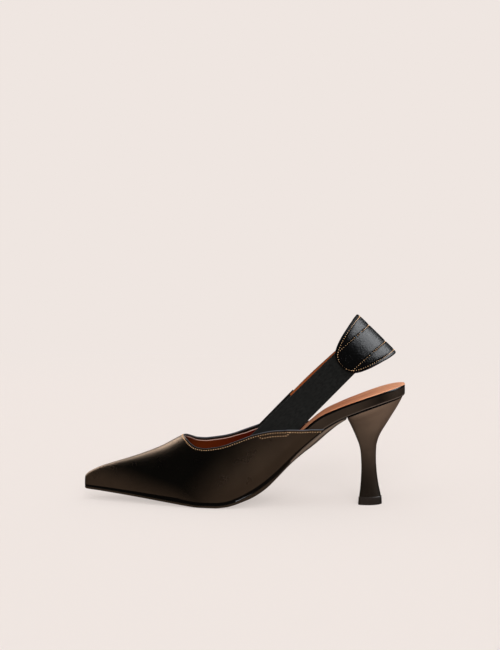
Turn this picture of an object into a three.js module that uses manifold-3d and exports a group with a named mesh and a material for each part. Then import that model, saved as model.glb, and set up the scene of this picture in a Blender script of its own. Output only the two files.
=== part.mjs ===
// A woman's pointed slingback pump, left shoe, standing on its ball and its heel.
// Millimetres, +Z up, toe towards -X, the outer (lateral) side towards -Y.
// The origin is on the floor, at the middle of the flat spot under the ball of the foot.
import * as THREE from "three";
import { mergeVertices } from "three/addons/utils/BufferGeometryUtils.js";
import Module from "manifold-3d";

const wasm = await Module();
wasm.setup();

// Driving sizes
const SHOE_LENGTH = 243; // toe tip to back of seat, along the floor
const TREAD_AT = 0.403; // where the ball treads, as a share of the length from the toe
const BALL_WIDTH = 72; // insole across the ball
const WAIST_WIDTH = 43; // insole across the narrowest place
const SEAT_WIDTH = 53; // insole under the heel of the foot
const TOE_WIDTH = 10; // the snipped tip
const TOE_SPRING = 8; // how far the tip stands off the floor
const HEEL_RISE = 80; // how far the back of the seat is above the ball
const THROAT_RISE = 45.5; // front of the opening, above the sole
const GAP = 0.3; // between pieces that meet

// Sole
const OUTSOLE_EDGE = 2.4; // at the forepart; thicker where the waist starts to rise
const TREAD_CROWN = 0.5; // how much thicker the outsole is inside its edge
const WAIST_CROWN = 3; // the same, where the waist is rounded
const SOLE_WELT = 1.8; // outsole beyond the insole at the forepart
const RAND_HEIGHT = 7.4; // covered insole at the seat
const SOCK_THICKNESS = 1;
const SOCK_MARGIN = 1.8; // covered edge that shows round the sock

// Upper
const UPPER_WALL = 1.8;
const BELLY = 2.2; // how far the upper bulges beyond the feather edge
const BELLY_HEIGHT = 11;

// Heel
const TOP_PIECE_HEIGHT = 6.2;
const TOP_PIECE_LIP = 0.5; // top piece beyond the heel tip
const HEEL_SEAT_LENGTH = 42; // breast to back, at the seat
const BREAST_HOLLOW = 1.2;

// Sling
const SLING_AT = 0.62; // where its middle leaves the topline
const SLING_ANGLE = 45.8; // degrees above the floor
const SLING_REACH = 96; // topline to the back of the loop
const SLING_HALF = 24.5; // half the width of the loop
const ELASTIC_WIDTH = 21;
const ELASTIC_THICKNESS = 1.3;
const ELASTIC_TAIL = 7; // hidden behind the topline
const MEDIAL_ELASTIC_LENGTH = 17; // past the sling's start, before the leather strap
const MEDIAL_RIDE = 2; // how much higher the sling rides on the medial side, towards the foot
const LEATHER_STRAP_WIDTH = 19.5;
const LEATHER_STRAP_THICKNESS = 1.8;
const TAB_WIDTH = 39;
const TAB_FRONT = 5; // tab ahead of the place where the loop starts to turn
const TAB_THICKNESS = 1.8;
const TAB_PUFF = 1.1; // padding of its three channels
const TAB_DROP = 1.8; // middle of the tab, below the middle of the straps
const TAB_LAP = 16; // strap ends under the tab

const lerp = (a, b, t) => a + (b - a) * t;
const clamp = (v, low = 0, high = 1) => Math.min(high, Math.max(low, v));
const smooth = (v) => clamp(v) ** 2 * (3 - 2 * clamp(v));
const xAt = (at) => (at - TREAD_AT) * SHOE_LENGTH;
const atX = (x) => x / SHOE_LENGTH + TREAD_AT;
const LATERAL = -1;
const MEDIAL = 1;

// A smooth curve through a table's rows that never overshoots them.
function curveThrough(rows, value) {
  const x = rows.map((row) => row.at);
  const y = rows.map(value);
  const step = x.slice(1).map((right, i) => (y[i + 1] - y[i]) / (right - x[i]));
  const slope = x.map((_, i) => {
    if (i === 0) return step[0];
    if (i === x.length - 1) return step[i - 1];
    const same = step[i - 1] * step[i] > 0;
    return same ? (2 * step[i - 1] * step[i]) / (step[i - 1] + step[i]) : 0;
  });
  return (at) => {
    const place = clamp(at, x[0], x[x.length - 1]);
    let i = 0;
    while (i < x.length - 2 && place > x[i + 1]) i++;
    const width = x[i + 1] - x[i];
    const t = (place - x[i]) / width;
    const value00 = (1 + 2 * t) * (1 - t) ** 2 * y[i];
    const value01 = t ** 2 * (3 - 2 * t) * y[i + 1];
    const slopes = t * (1 - t) ** 2 * slope[i] - t ** 2 * (1 - t) * slope[i + 1];
    return value00 + value01 + width * slopes;
  };
}

// The last: outline of the insole, from toe to seat
const OUTLINE = [
  { at: 0, lateral: 0.36, medial: 0.64, of: TOE_WIDTH },
  { at: 0.04, lateral: 0.1, medial: 0.115, of: BALL_WIDTH },
  { at: 0.1, lateral: 0.182, medial: 0.183, of: BALL_WIDTH },
  { at: 0.18, lateral: 0.285, medial: 0.272, of: BALL_WIDTH },
  { at: 0.26, lateral: 0.385, medial: 0.362, of: BALL_WIDTH },
  { at: 0.33, lateral: 0.458, medial: 0.432, of: BALL_WIDTH },
  { at: 0.385, lateral: 0.497, medial: 0.465, of: BALL_WIDTH },
  { at: 0.43, lateral: 0.51, medial: 0.462, of: BALL_WIDTH },
  { at: 0.48, lateral: 0.498, medial: 0.425, of: BALL_WIDTH },
  { at: 0.54, lateral: 0.452, medial: 0.36, of: BALL_WIDTH },
  { at: 0.61, lateral: 0.67, medial: 0.515, of: WAIST_WIDTH },
  { at: 0.68, lateral: 0.6, medial: 0.465, of: WAIST_WIDTH },
  { at: 0.75, lateral: 0.565, medial: 0.48, of: WAIST_WIDTH },
  { at: 0.82, lateral: 0.478, medial: 0.44, of: SEAT_WIDTH },
  { at: 0.88, lateral: 0.5, medial: 0.49, of: SEAT_WIDTH },
  { at: 0.91, lateral: 0.5, medial: 0.5, of: SEAT_WIDTH },
];
const lateralHalf = curveThrough(OUTLINE, (row) => row.lateral * row.of);
const medialHalf = curveThrough(OUTLINE, (row) => row.medial * row.of);
const SEAT_ROUND_AT = 0.9; // the outline starts to close round the back
const SEAT_SQUARENESS = 2.3;
const TOE_CORNER = 2.5; // radius of the tip's two corners

// Half width of the insole on one side.
function insoleHalf(at, side) {
  const half = side === LATERAL ? lateralHalf(at) : medialHalf(at);
  const back = clamp((at - SEAT_ROUND_AT) / (1 - SEAT_ROUND_AT));
  const closing = (1 - back ** SEAT_SQUARENESS) ** (1 / SEAT_SQUARENESS);
  const fromTip = clamp(xAt(at) - xAt(0), 0, TOE_CORNER);
  const corner = TOE_CORNER - Math.sqrt(TOE_CORNER ** 2 - (TOE_CORNER - fromTip) ** 2);
  return half * closing - corner;
}

// The feather line, where upper and insole meet the outsole, above the flat spot
const FEATHER = [
  { at: 0, rise: 1, of: TOE_SPRING },
  { at: 0.1, rise: 0.79, of: TOE_SPRING },
  { at: 0.2, rise: 0.53, of: TOE_SPRING },
  { at: 0.3, rise: 0.22, of: TOE_SPRING },
  { at: 0.36, rise: 0.03, of: TOE_SPRING },
  { at: 0.375, rise: 0, of: TOE_SPRING },
  { at: 0.43, rise: 0, of: HEEL_RISE },
  { at: 0.46, rise: 0.011, of: HEEL_RISE },
  { at: 0.49, rise: 0.04, of: HEEL_RISE },
  { at: 0.52, rise: 0.084, of: HEEL_RISE },
  { at: 0.55, rise: 0.138, of: HEEL_RISE },
  { at: 0.58, rise: 0.205, of: HEEL_RISE },
  { at: 0.61, rise: 0.286, of: HEEL_RISE },
  { at: 0.64, rise: 0.377, of: HEEL_RISE },
  { at: 0.67, rise: 0.469, of: HEEL_RISE },
  { at: 0.7, rise: 0.555, of: HEEL_RISE },
  { at: 0.73, rise: 0.634, of: HEEL_RISE },
  { at: 0.76, rise: 0.702, of: HEEL_RISE },
  { at: 0.8, rise: 0.776, of: HEEL_RISE },
  { at: 0.85, rise: 0.846, of: HEEL_RISE },
  { at: 0.9, rise: 0.906, of: HEEL_RISE },
  { at: 0.95, rise: 0.958, of: HEEL_RISE },
  { at: 1, rise: 1, of: HEEL_RISE },
];
const featherRise = curveThrough(FEATHER, (row) => row.rise * row.of);
const FLOOR_TO_FEATHER = OUTSOLE_EDGE + TREAD_CROWN + GAP;
const featherZ = (at) => FLOOR_TO_FEATHER + featherRise(at);

// Thickness of insole and outsole along the shoe
const SECTIONS = [
  { at: 0, insole: 0.35, crown: 1, crownOf: TREAD_CROWN },
  { at: 0.3, insole: 0.35, crown: 1, crownOf: TREAD_CROWN },
  { at: 0.45, insole: 0.5, crown: 1, crownOf: TREAD_CROWN },
  { at: 0.6, insole: 1.1, crown: 0.5, crownOf: WAIST_CROWN },
  { at: 0.7, insole: 1.5, crown: 0.9, crownOf: WAIST_CROWN },
  { at: 0.74, insole: 1.45, crown: 1, crownOf: WAIST_CROWN },
  { at: 0.8, insole: 1.18, crown: 0.75, crownOf: WAIST_CROWN },
  { at: 0.88, insole: 1.05, crown: 0.2, crownOf: WAIST_CROWN },
  { at: 1, insole: 1, crown: 0.2, crownOf: WAIST_CROWN },
];
const EDGE = [
  { at: 0.45, edge: 1 },
  { at: 0.5, edge: 1.3 },
  { at: 0.545, edge: 1.9 },
  { at: 0.58, edge: 2.1 },
  { at: 0.617, edge: 1.65 },
  { at: 0.65, edge: 1.4 },
  { at: 0.69, edge: 1.6 },
  { at: 0.72, edge: 1.85 },
  { at: 0.76, edge: 1.6 },
  { at: 0.83, edge: 1.2 },
];
const soleEdge = curveThrough(EDGE, (row) => row.edge * OUTSOLE_EDGE);
const insoleHeight = curveThrough(SECTIONS, (row) => row.insole * RAND_HEIGHT);
const soleCrown = curveThrough(SECTIONS, (row) => row.crown * row.crownOf);
const insoleTopZ = (at) => featherZ(at) + insoleHeight(at);

// Builds a mesh from rings with the same number of points each, closed at both ends by fans.
function loft(rings) {
  const count = rings[0].length;
  const points = rings.flat();
  const faces = [];
  rings.slice(1).forEach((_, k) => {
    for (let i = 0; i < count; i++) {
      const a = k * count + i;
      const b = k * count + ((i + 1) % count);
      faces.push(a, b, b + count, a, b + count, a + count);
    }
  });
  const closeEnd = (ring, start, reversed) => {
    const middle = ring.reduce((sum, p) => sum.add(p), new THREE.Vector3()).divideScalar(count);
    const centre = points.push(middle) - 1;
    for (let i = 0; i < count; i++) {
      const a = start + i;
      const b = start + ((i + 1) % count);
      if (reversed) faces.push(centre, a, b);
      else faces.push(centre, b, a);
    }
  };
  closeEnd(rings[0], 0, false);
  closeEnd(rings[rings.length - 1], (rings.length - 1) * count, true);
  const geometry = new THREE.BufferGeometry();
  geometry.setAttribute("position", new THREE.Float32BufferAttribute(points.flatMap((p) => [p.x, p.y, p.z]), 3));
  geometry.setIndex(faces);
  return volumeOf(geometry) < 0 ? turnedOut(geometry) : geometry;
}

function volumeOf(geometry) {
  const position = geometry.attributes.position;
  const corner = (i) => new THREE.Vector3().fromBufferAttribute(position, geometry.index.getX(i));
  let volume = 0;
  for (let i = 0; i < geometry.index.count; i += 3) {
    volume += corner(i).dot(corner(i + 1).cross(corner(i + 2))) / 6;
  }
  return volume;
}

function turnedOut(geometry) {
  const faces = Array.from(geometry.index.array);
  for (let i = 0; i < faces.length; i += 3) [faces[i + 1], faces[i + 2]] = [faces[i + 2], faces[i + 1]];
  return geometry.setIndex(faces);
}

function solidOf(geometry) {
  const bare = new THREE.BufferGeometry();
  bare.setAttribute("position", geometry.getAttribute("position"));
  bare.setIndex(geometry.index);
  const merged = mergeVertices(bare, 1e-4);
  return new wasm.Manifold(
    new wasm.Mesh({
      numProp: 3,
      vertProperties: new Float32Array(merged.attributes.position.array),
      triVerts: new Uint32Array(merged.index.array),
    }),
  );
}

function geometryOf(solid) {
  const mesh = solid.getMesh();
  const geometry = new THREE.BufferGeometry();
  geometry.setAttribute("position", new THREE.BufferAttribute(new Float32Array(mesh.vertProperties), 3));
  geometry.setIndex(new THREE.BufferAttribute(new Uint32Array(mesh.triVerts), 1));
  return geometry;
}

// A prism along Y, from a side view's outline.
function sidePrism(outline, halfWidth) {
  const shape = new THREE.Shape(outline.map(([x, z]) => new THREE.Vector2(x, z)));
  const extruded = new THREE.ExtrudeGeometry(shape, { depth: 2 * halfWidth, bevelEnabled: false });
  extruded.rotateX(Math.PI / 2);
  extruded.translate(0, halfWidth, 0);
  extruded.deleteAttribute("normal");
  extruded.deleteAttribute("uv");
  return mergeVertices(extruded, 1e-4);
}

// Stations between two places, closer together near the ends.
function stations(from, to, count) {
  return Array.from({ length: count }, (_, i) => lerp(from, to, (1 - Math.cos((Math.PI * i) / (count - 1))) / 2));
}

// A point on a plate's outline, moved inwards from the edge.
function edgePoint(at, side, half, inset) {
  const step = 1e-4;
  const low = clamp(at - step, 0, 1);
  const high = clamp(at + step, 0, 1);
  const along = new THREE.Vector2(xAt(high) - xAt(low), half(high, side) - half(low, side)).normalize();
  return {
    x: xAt(at) + along.y * inset,
    y: side * (half(at, side) - along.x * inset),
  };
}

// A plate such as a sole: closed sections along the shoe, each with a shaped edge.
// Each row of the edge gives its inset and how high it is, from the underside to the top.
function plate({ from, to, count, half, topZ, underZ, edge, across }) {
  const rings = stations(from, to, count).map((at) => {
    const ring = [];
    const side = (which, rows) =>
      rows.forEach(({ inset, height }) => {
        const { x, y } = edgePoint(at, which, half, inset);
        const place = atX(x);
        ring.push(new THREE.Vector3(x, y, lerp(underZ(place, 1), topZ(place), height)));
      });
    const middle = (start, end, height) => {
      for (let i = 1; i < across; i++) {
        const t = i / across;
        const x = lerp(start.x, end.x, t);
        const y = lerp(start.y, end.y, t);
        const share = Math.abs(2 * t - 1);
        ring.push(new THREE.Vector3(x, y, height(atX(x), share)));
      }
    };
    const reversed = [...edge].reverse();
    side(LATERAL, edge);
    middle(ring[ring.length - 1], edgePoint(at, MEDIAL, half, edge[edge.length - 1].inset), (place) => topZ(place));
    side(MEDIAL, reversed);
    middle(ring[ring.length - 1], ring[0], underZ);
    return ring;
  });
  return loft(rings);
}

// The upper's own surface, as a section across the shoe
const SHELL = [
  { at: 0, rise: 0.15, lateralBelly: 0.1, medialBelly: 0.1, peak: 0.75 },
  { at: 0.006, rise: 0.187, lateralBelly: 0.15, medialBelly: 0.15, peak: 0.8 },
  { at: 0.016, rise: 0.226, lateralBelly: 0.2, medialBelly: 0.2, peak: 0.85 },
  { at: 0.047, rise: 0.325, lateralBelly: 0.35, medialBelly: 0.35, peak: 0.95 },
  { at: 0.086, rise: 0.402, lateralBelly: 0.5, medialBelly: 0.5, peak: 1.02 },
  { at: 0.16, rise: 0.56, lateralBelly: 0.7, medialBelly: 0.7, peak: 1.08 },
  { at: 0.235, rise: 0.753, lateralBelly: 0.9, medialBelly: 0.9, peak: 1.08 },
  { at: 0.309, rise: 1, lateralBelly: 1, medialBelly: 1, peak: 1.04 },
  { at: 0.4, rise: 1.24, lateralBelly: 1, medialBelly: 0.9, peak: 1 },
  { at: 0.52, rise: 1.4, lateralBelly: 0.9, medialBelly: 1, peak: 1 },
  { at: 0.62, rise: 1.35, lateralBelly: 0.6, medialBelly: 1.6, peak: 1 },
  { at: 0.7, rise: 1.25, lateralBelly: 0.3, medialBelly: 1, peak: 1 },
  { at: 0.78, rise: 1.1, lateralBelly: 0, medialBelly: 0, peak: 1 },
];
const ridgeRise = curveThrough(SHELL, (row) => row.rise * THROAT_RISE);
const lateralBelly = curveThrough(SHELL, (row) => row.lateralBelly * BELLY);
const medialBelly = curveThrough(SHELL, (row) => row.medialBelly * BELLY);
const ridgePeak = curveThrough(SHELL, (row) => row.peak);
const RIDGE_TO_MEDIAL = 0.35; // the ridge lies off the middle of the section

// Distance of the shell's outer face from the centre plane, at a share of its height (0 to 1).
function shellHalf(at, side, height) {
  const feather = insoleHalf(at, side) + GAP + UPPER_WALL;
  const bulge = side === LATERAL ? lateralBelly(at) : medialBelly(at);
  const lifted = height * ridgeRise(at);
  const skew = (insoleHalf(at, MEDIAL) - insoleHalf(at, LATERAL)) * RIDGE_TO_MEDIAL;
  const lean = Math.sqrt(1 - Math.min(1, height) ** 2) ** ridgePeak(at);
  const tucked = bulge * (1 - smooth(lifted / BELLY_HEIGHT)) * lean;
  return (feather + bulge - side * skew) * lean - tucked + side * skew;
}

// A point of the shell's section, as its height and distance from the centre plane. The angle runs
// from 0 at the feather to a right angle at the ridge, and inset moves the point into the wall.
function shellPoint(at, side, angle, inset) {
  const point = (turn) => {
    const height = Math.sin(turn);
    return new THREE.Vector2(shellHalf(at, side, height), height * ridgeRise(at));
  };
  const ridge = Math.PI / 2;
  const step = 1e-3;
  const along = point(Math.min(angle + step, ridge)).sub(point(Math.max(angle - step, 0))).normalize();
  const normal = angle < ridge - step ? new THREE.Vector2(along.y, -along.x) : new THREE.Vector2(0, 1);
  return point(angle).addScaledVector(normal, -inset);
}

// The topline in side view, as a height above the feather line
const TOPLINE = [
  { at: 0.3135, lateral: 1.01, medial: 1.01 },
  { at: 0.328, lateral: 0.958, medial: 0.958 },
  { at: 0.343, lateral: 0.926, medial: 0.93 },
  { at: 0.365, lateral: 0.905, medial: 0.93 },
  { at: 0.39, lateral: 0.905, medial: 0.94 },
  { at: 0.415, lateral: 0.92, medial: 0.957 },
  { at: 0.445, lateral: 0.946, medial: 0.983 },
  { at: 0.485, lateral: 0.968, medial: 1.005 },
  { at: 0.53, lateral: 0.942, medial: 0.979 },
  { at: 0.56, lateral: 0.885, medial: 0.917 },
  { at: 0.595, lateral: 0.775, medial: 0.795 },
  { at: 0.643, lateral: 0.545, medial: 0.55 },
  { at: 0.69, lateral: 0.3, medial: 0.3 },
  { at: 0.73, lateral: 0.12, medial: 0.12 },
  { at: 0.757, lateral: 0.01, medial: 0.01 },
];
const lateralTopline = curveThrough(TOPLINE, (row) => row.lateral * THROAT_RISE);
const medialTopline = curveThrough(TOPLINE, (row) => row.medial * THROAT_RISE);
const toplineRise = (at, side) => (side === LATERAL ? lateralTopline(at) : medialTopline(at));
const toplineZ = (at, side) => featherZ(at) + toplineRise(at, side);
const THROAT_AT = TOPLINE[0].at;
const WING_END_AT = TOPLINE[TOPLINE.length - 1].at;

function toplineAngle(at, side) {
  return Math.asin(Math.min(1, at > THROAT_AT ? toplineRise(at, side) / ridgeRise(at) : 1));
}

// One hollow shell: an outer and an inner skin of the same grid, closed along the feather,
// the topline, the ends of the wings and the tip. Both sides share the ridge.
function makeUpper() {
  const columns = 11;
  const ahead = 17;
  const behind = 19;
  const places = [
    ...Array.from({ length: ahead }, (_, i) => THROAT_AT * (1 - Math.cos((Math.PI * i) / (2 * ahead)))),
    ...Array.from({ length: behind + 1 }, (_, i) => lerp(THROAT_AT, WING_END_AT, (i / behind) ** 1.7)),
  ];
  const skin = (side, inset) =>
    places.map((place) => {
      const at = place + (inset / SHOE_LENGTH) * (1 - Math.min(1, place / THROAT_AT)) ** 2;
      return Array.from({ length: columns + 1 }, (_, j) => {
        const p = shellPoint(at, side, (toplineAngle(at, side) * j) / columns, inset);
        return new THREE.Vector3(xAt(at), side * p.x, featherZ(at) + p.y);
      });
    });
  const faces = [];
  const face = (flip, ...corners) => {
    const ring = flip ? corners.reverse() : corners;
    for (let i = 2; i < ring.length; i++) faces.push(ring[0], ring[i - 1], ring[i]);
  };
  const caps = [];
  [LATERAL, MEDIAL].forEach((side) => {
    const flip = side === MEDIAL;
    const outer = skin(side, 0);
    const inner = skin(side, UPPER_WALL);
    const last = places.length - 1;
    for (let k = 0; k < last; k++) {
      for (let j = 0; j < columns; j++) {
        face(flip, outer[k][j], outer[k + 1][j], outer[k + 1][j + 1], outer[k][j + 1]);
        face(flip, inner[k][j + 1], inner[k + 1][j + 1], inner[k + 1][j], inner[k][j]);
      }
      face(flip, inner[k][0], inner[k + 1][0], outer[k + 1][0], outer[k][0]);
      const [o, i] = [outer, inner].map((grid) => [grid[k][columns], grid[k + 1][columns]]);
      if (k >= ahead) face(flip, o[0], o[1], i[1], i[0]);
    }
    for (let j = 0; j < columns; j++) {
      face(flip, outer[last][j + 1], outer[last][j], inner[last][j], inner[last][j + 1]);
    }
    caps.push({ outer: outer[0], inner: inner[0] });
  });
  const [lateral, medial] = caps;
  const tipRing = (name) => [...lateral[name], ...medial[name].slice(0, columns).reverse()];
  const closeTip = (ring, flip) => {
    const centre = ring.reduce((sum, p) => sum.add(p), new THREE.Vector3()).divideScalar(ring.length);
    ring.forEach((p, i) => face(flip, p, ring[(i + 1) % ring.length], centre));
  };
  closeTip(tipRing("outer"), false);
  closeTip(tipRing("inner"), true);
  face(false, lateral.outer[0], medial.outer[0], medial.inner[0], lateral.inner[0]);
  const geometry = new THREE.BufferGeometry();
  geometry.setAttribute("position", new THREE.Float32BufferAttribute(faces.flatMap((p) => [p.x, p.y, p.z]), 3));
  return mergeVertices(geometry, 1e-4);
}

// Outsole: from the tip to the heel breast
const BREAST_AT = 1 - HEEL_SEAT_LENGTH / SHOE_LENGTH;
const WELT = [
  { at: 0, welt: 1 },
  { at: 0.45, welt: 1 },
  { at: 0.58, welt: 0.3 },
  { at: 0.7, welt: -0.6 },
  { at: 1, welt: -0.6 },
];
const weltOf = curveThrough(WELT, (row) => row.welt * SOLE_WELT);
const outsoleHalf = (at, side) => insoleHalf(at, side) + weltOf(at);
const outsoleTopZ = (at) => featherZ(at) - GAP;
const outsoleUnderZ = (at, share) => {
  const flat = 1 - smooth((share - 0.7) / 0.3);
  const round = 1 - share ** 2;
  const crown = lerp(flat, round, smooth((at - 0.45) / 0.12));
  return outsoleTopZ(at) - soleEdge(at) - soleCrown(at) * crown;
};
const makeOutsole = () =>
  plate({
    from: 0,
    to: BREAST_AT - 0.002,
    count: 38,
    half: outsoleHalf,
    topZ: outsoleTopZ,
    underZ: outsoleUnderZ,
    edge: [
      { inset: 0.5, height: 0 },
      { inset: 0, height: 0.3 },
      { inset: 0, height: 1 },
    ],
    across: 8,
  });

// Insole: board and padding, its edge covered, with the sock on top
const INSOLE_FROM = 0.016;
const SEAT_END = 0.99995;
const makeInsole = () =>
  plate({
    from: INSOLE_FROM,
    to: SEAT_END,
    count: 46,
    half: insoleHalf,
    topZ: insoleTopZ,
    underZ: (at) => featherZ(at),
    edge: [
      { inset: 0.6, height: 0 },
      { inset: 0, height: 0.12 },
      { inset: 0, height: 0.85 },
      { inset: 0.8, height: 1 },
    ],
    across: 4,
  });
const makeSock = () =>
  plate({
    from: INSOLE_FROM + 0.012,
    to: SEAT_END,
    count: 40,
    half: (at, side) => insoleHalf(at, side) - SOCK_MARGIN,
    topZ: (at) => insoleTopZ(at) + GAP + SOCK_THICKNESS,
    underZ: (at) => insoleTopZ(at) + GAP,
    edge: [
      { inset: 0, height: 0 },
      { inset: 0, height: 0.5 },
      { inset: 0.4, height: 1 },
    ],
    across: 4,
  });

// Heel: planar rings, each between a point of the breast and a point of the back in side view.
// Forward places are shares of the seat's length, heights of the seat's height at its back.
const SEAT_UNDER_BACK = FLOOR_TO_FEATHER + HEEL_RISE;
const HEEL_RINGS = [
  { frontX: 1.05, frontZ: 0.91, backX: -0.04, backZ: 1.12, half: 1.01 },
  { frontX: 1.01, frontZ: 0.8, backX: 0.035, backZ: 0.99, half: 0.975 },
  { frontX: 0.965, frontZ: 0.745, backX: 0.14, backZ: 0.885, half: 0.79 },
  { frontX: 0.91, frontZ: 0.68, backX: 0.25, backZ: 0.8, half: 0.64 },
  { frontX: 0.855, frontZ: 0.61, backX: 0.345, backZ: 0.727, half: 0.52 },
  { frontX: 0.81, frontZ: 0.545, backX: 0.43, backZ: 0.66, half: 0.43 },
  { frontX: 0.785, frontZ: 0.48, backX: 0.493, backZ: 0.59, half: 0.365 },
  { frontX: 0.776, frontZ: 0.413, backX: 0.524, backZ: 0.515, half: 0.32 },
  { frontX: 0.771, frontZ: 0.34, backX: 0.53, backZ: 0.42, half: 0.294 },
  { frontX: 0.776, frontZ: 0.26, backX: 0.52, backZ: 0.31, half: 0.282 },
  { frontX: 0.788, frontZ: 0.17, backX: 0.492, backZ: 0.19, half: 0.29 },
];
const HEEL_TIP = { frontX: 0.81, backX: 0.452, half: 0.32 };
const BREAST_SQUARENESS = 4.5;
const HEEL_WIDEST = 0.42; // share of the ring's length behind the breast

function heelRing({ frontX, frontZ, backX, backZ, half }, grow) {
  const seatBack = xAt(1);
  const front = new THREE.Vector2(seatBack - frontX * HEEL_SEAT_LENGTH - grow, frontZ);
  const back = new THREE.Vector2(seatBack - backX * HEEL_SEAT_LENGTH + grow, backZ);
  const halfWidth = (half * SEAT_WIDTH) / 2 + grow;
  const count = 36;
  return Array.from({ length: count }, (_, i) => {
    const angle = (2 * Math.PI * i) / count;
    const power = Math.cos(angle) < 0 ? 2 / BREAST_SQUARENESS : 1;
    const forward = Math.sign(Math.cos(angle)) * Math.abs(Math.cos(angle)) ** power;
    const aside = Math.sign(Math.sin(angle)) * Math.abs(Math.sin(angle)) ** power;
    const reach = forward < 0 ? HEEL_WIDEST : 1 - HEEL_WIDEST;
    const hollow = forward < 0 ? (-forward * (1 - aside ** 2) * BREAST_HOLLOW) / (back.x - front.x) : 0;
    const place = HEEL_WIDEST + forward * reach + hollow;
    return new THREE.Vector3(lerp(front.x, back.x, place), aside * halfWidth, lerp(front.y, back.y, place));
  });
}

function makeHeel() {
  const tipZ = TOP_PIECE_HEIGHT + GAP;
  const rings = HEEL_RINGS.map((row) =>
    heelRing({ ...row, frontZ: row.frontZ * SEAT_UNDER_BACK, backZ: row.backZ * SEAT_UNDER_BACK }, 0),
  );
  rings.push(heelRing({ ...HEEL_TIP, frontZ: tipZ, backZ: tipZ }, 0));
  const seat = Array.from({ length: 24 }, (_, i) => {
    const at = lerp(BREAST_AT - 0.03, 1, i / 23);
    return [xAt(at), featherZ(at) - GAP];
  });
  const above = SEAT_UNDER_BACK * 2;
  const behind = xAt(1) + HEEL_SEAT_LENGTH;
  const outline = [...seat, [behind, featherZ(1) - GAP], [behind, above], [xAt(BREAST_AT - 0.03), above]];
  return geometryOf(solidOf(loft(rings)).subtract(solidOf(sidePrism(outline, SEAT_WIDTH))));
}

function makeTopPiece() {
  const heights = [
    { z: 0, grow: TOP_PIECE_LIP },
    { z: TOP_PIECE_HEIGHT * 0.85, grow: TOP_PIECE_LIP * 0.3 },
    { z: TOP_PIECE_HEIGHT, grow: 0 },
  ];
  return loft(heights.map(({ z, grow }) => heelRing({ ...HEEL_TIP, frontZ: z, backZ: z }, grow)));
}

// Sling: a band whose middle runs up and back from the topline in one slanted plane.
// "along" runs from the topline to the back of the loop, "down" across the band, towards the floor.
const slant = THREE.MathUtils.degToRad(SLING_ANGLE);
const slingStart = new THREE.Vector2(xAt(SLING_AT), toplineZ(SLING_AT, LATERAL));
const slingPoint = (along, down) => ({
  x: slingStart.x + along * Math.cos(slant) + down * Math.sin(slant),
  z: slingStart.y + along * Math.sin(slant) - down * Math.cos(slant),
});
const TURN_START = SLING_REACH - SLING_HALF;
const LEAVE_WALL = 16; // height above the topline where the band has taken the loop's width

// How much higher the band rides on one side; the two sides are level again at the back.
const rideOf = (run, side) => (side === MEDIAL ? MEDIAL_RIDE * (1 - smooth((run - 30) / 55)) : 0);

// The inner face of the upper's wall, with a gap before it, at a point of its side.
const wallAngles = Array.from({ length: 25 }, (_, i) => (Math.PI / 48) * i);
function wallInside(x, z, side) {
  const at = clamp(atX(x), 0, WING_END_AT);
  const wall = wallAngles.map((angle) => shellPoint(at, side, angle, UPPER_WALL + GAP * 1.5));
  const rise = clamp(z - featherZ(at), wall[0].y, wall[wall.length - 1].y);
  const above = Math.max(1, wall.findIndex((p) => p.y >= rise));
  const [low, high] = [wall[above - 1], wall[above]];
  return side * lerp(low.x, high.x, (rise - low.y) / (high.y - low.y));
}

// A point of the band's middle surface: run is its length from the start, and goes on round the turn.
function bandPoint(run, down, side, outwards) {
  const turn = clamp((run - TURN_START) / SLING_HALF, 0, Math.PI / 2);
  const along = run > TURN_START ? TURN_START + (SLING_HALF + outwards) * Math.sin(turn) : run;
  const loopY = side * (SLING_HALF + outwards) * Math.cos(turn);
  const { x, z } = slingPoint(along, down - rideOf(run, side));
  const lineZ = toplineZ(atX(x), side);
  const wallY = wallInside(x, Math.min(z, lineZ), side) + side * (outwards - ELASTIC_THICKNESS);
  return new THREE.Vector3(x, lerp(wallY, loopY, smooth((z - lineZ - 0.5) / LEAVE_WALL)), z);
}

const HALF_LOOP = TURN_START + (SLING_HALF * Math.PI) / 2;

// Where a band, cut level below the topline, begins on each of its lines.
function tailStart(down, side) {
  let along = 0;
  for (let i = 0; i < 20; i++) {
    const { x, z } = slingPoint(along, down - rideOf(along, side));
    along += toplineZ(atX(x), side) - ELASTIC_TAIL - z;
  }
  return along;
}

// A strap from one run to another, between two distances outwards.
function strap({ side, width, from, to, inner, outer, steps, centre = () => 0 }) {
  const across = 4;
  const rings = Array.from({ length: steps + 1 }, (_, k) => {
    const edge = (outwards, reversed) =>
      Array.from({ length: across + 1 }, (_, j) => {
        const share = (reversed ? across - j : j) / across;
        const down = (share - 0.5) * width;
        const run = lerp(from(down, side), to, k / steps);
        return bandPoint(run, down + centre(run), side, outwards);
      });
    return [...edge(inner, false), ...edge(outer, true)];
  });
  return loft(rings);
}

const STRAP_END = TURN_START - TAB_FRONT + TAB_LAP;
const makeElasticLateral = () =>
  strap({
    side: LATERAL,
    width: ELASTIC_WIDTH,
    from: tailStart,
    to: STRAP_END,
    inner: 0,
    outer: ELASTIC_THICKNESS,
    steps: 22,
  });
const makeElasticMedial = () =>
  strap({
    side: MEDIAL,
    width: ELASTIC_WIDTH,
    from: tailStart,
    to: MEDIAL_ELASTIC_LENGTH,
    inner: 0,
    outer: ELASTIC_THICKNESS,
    steps: 10,
  });
const makeStrapMedial = () =>
  strap({
    side: MEDIAL,
    width: LEATHER_STRAP_WIDTH,
    from: () => MEDIAL_ELASTIC_LENGTH + GAP,
    to: STRAP_END,
    inner: ELASTIC_THICKNESS - LEATHER_STRAP_THICKNESS,
    outer: ELASTIC_THICKNESS,
    steps: 14,
  });

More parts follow.
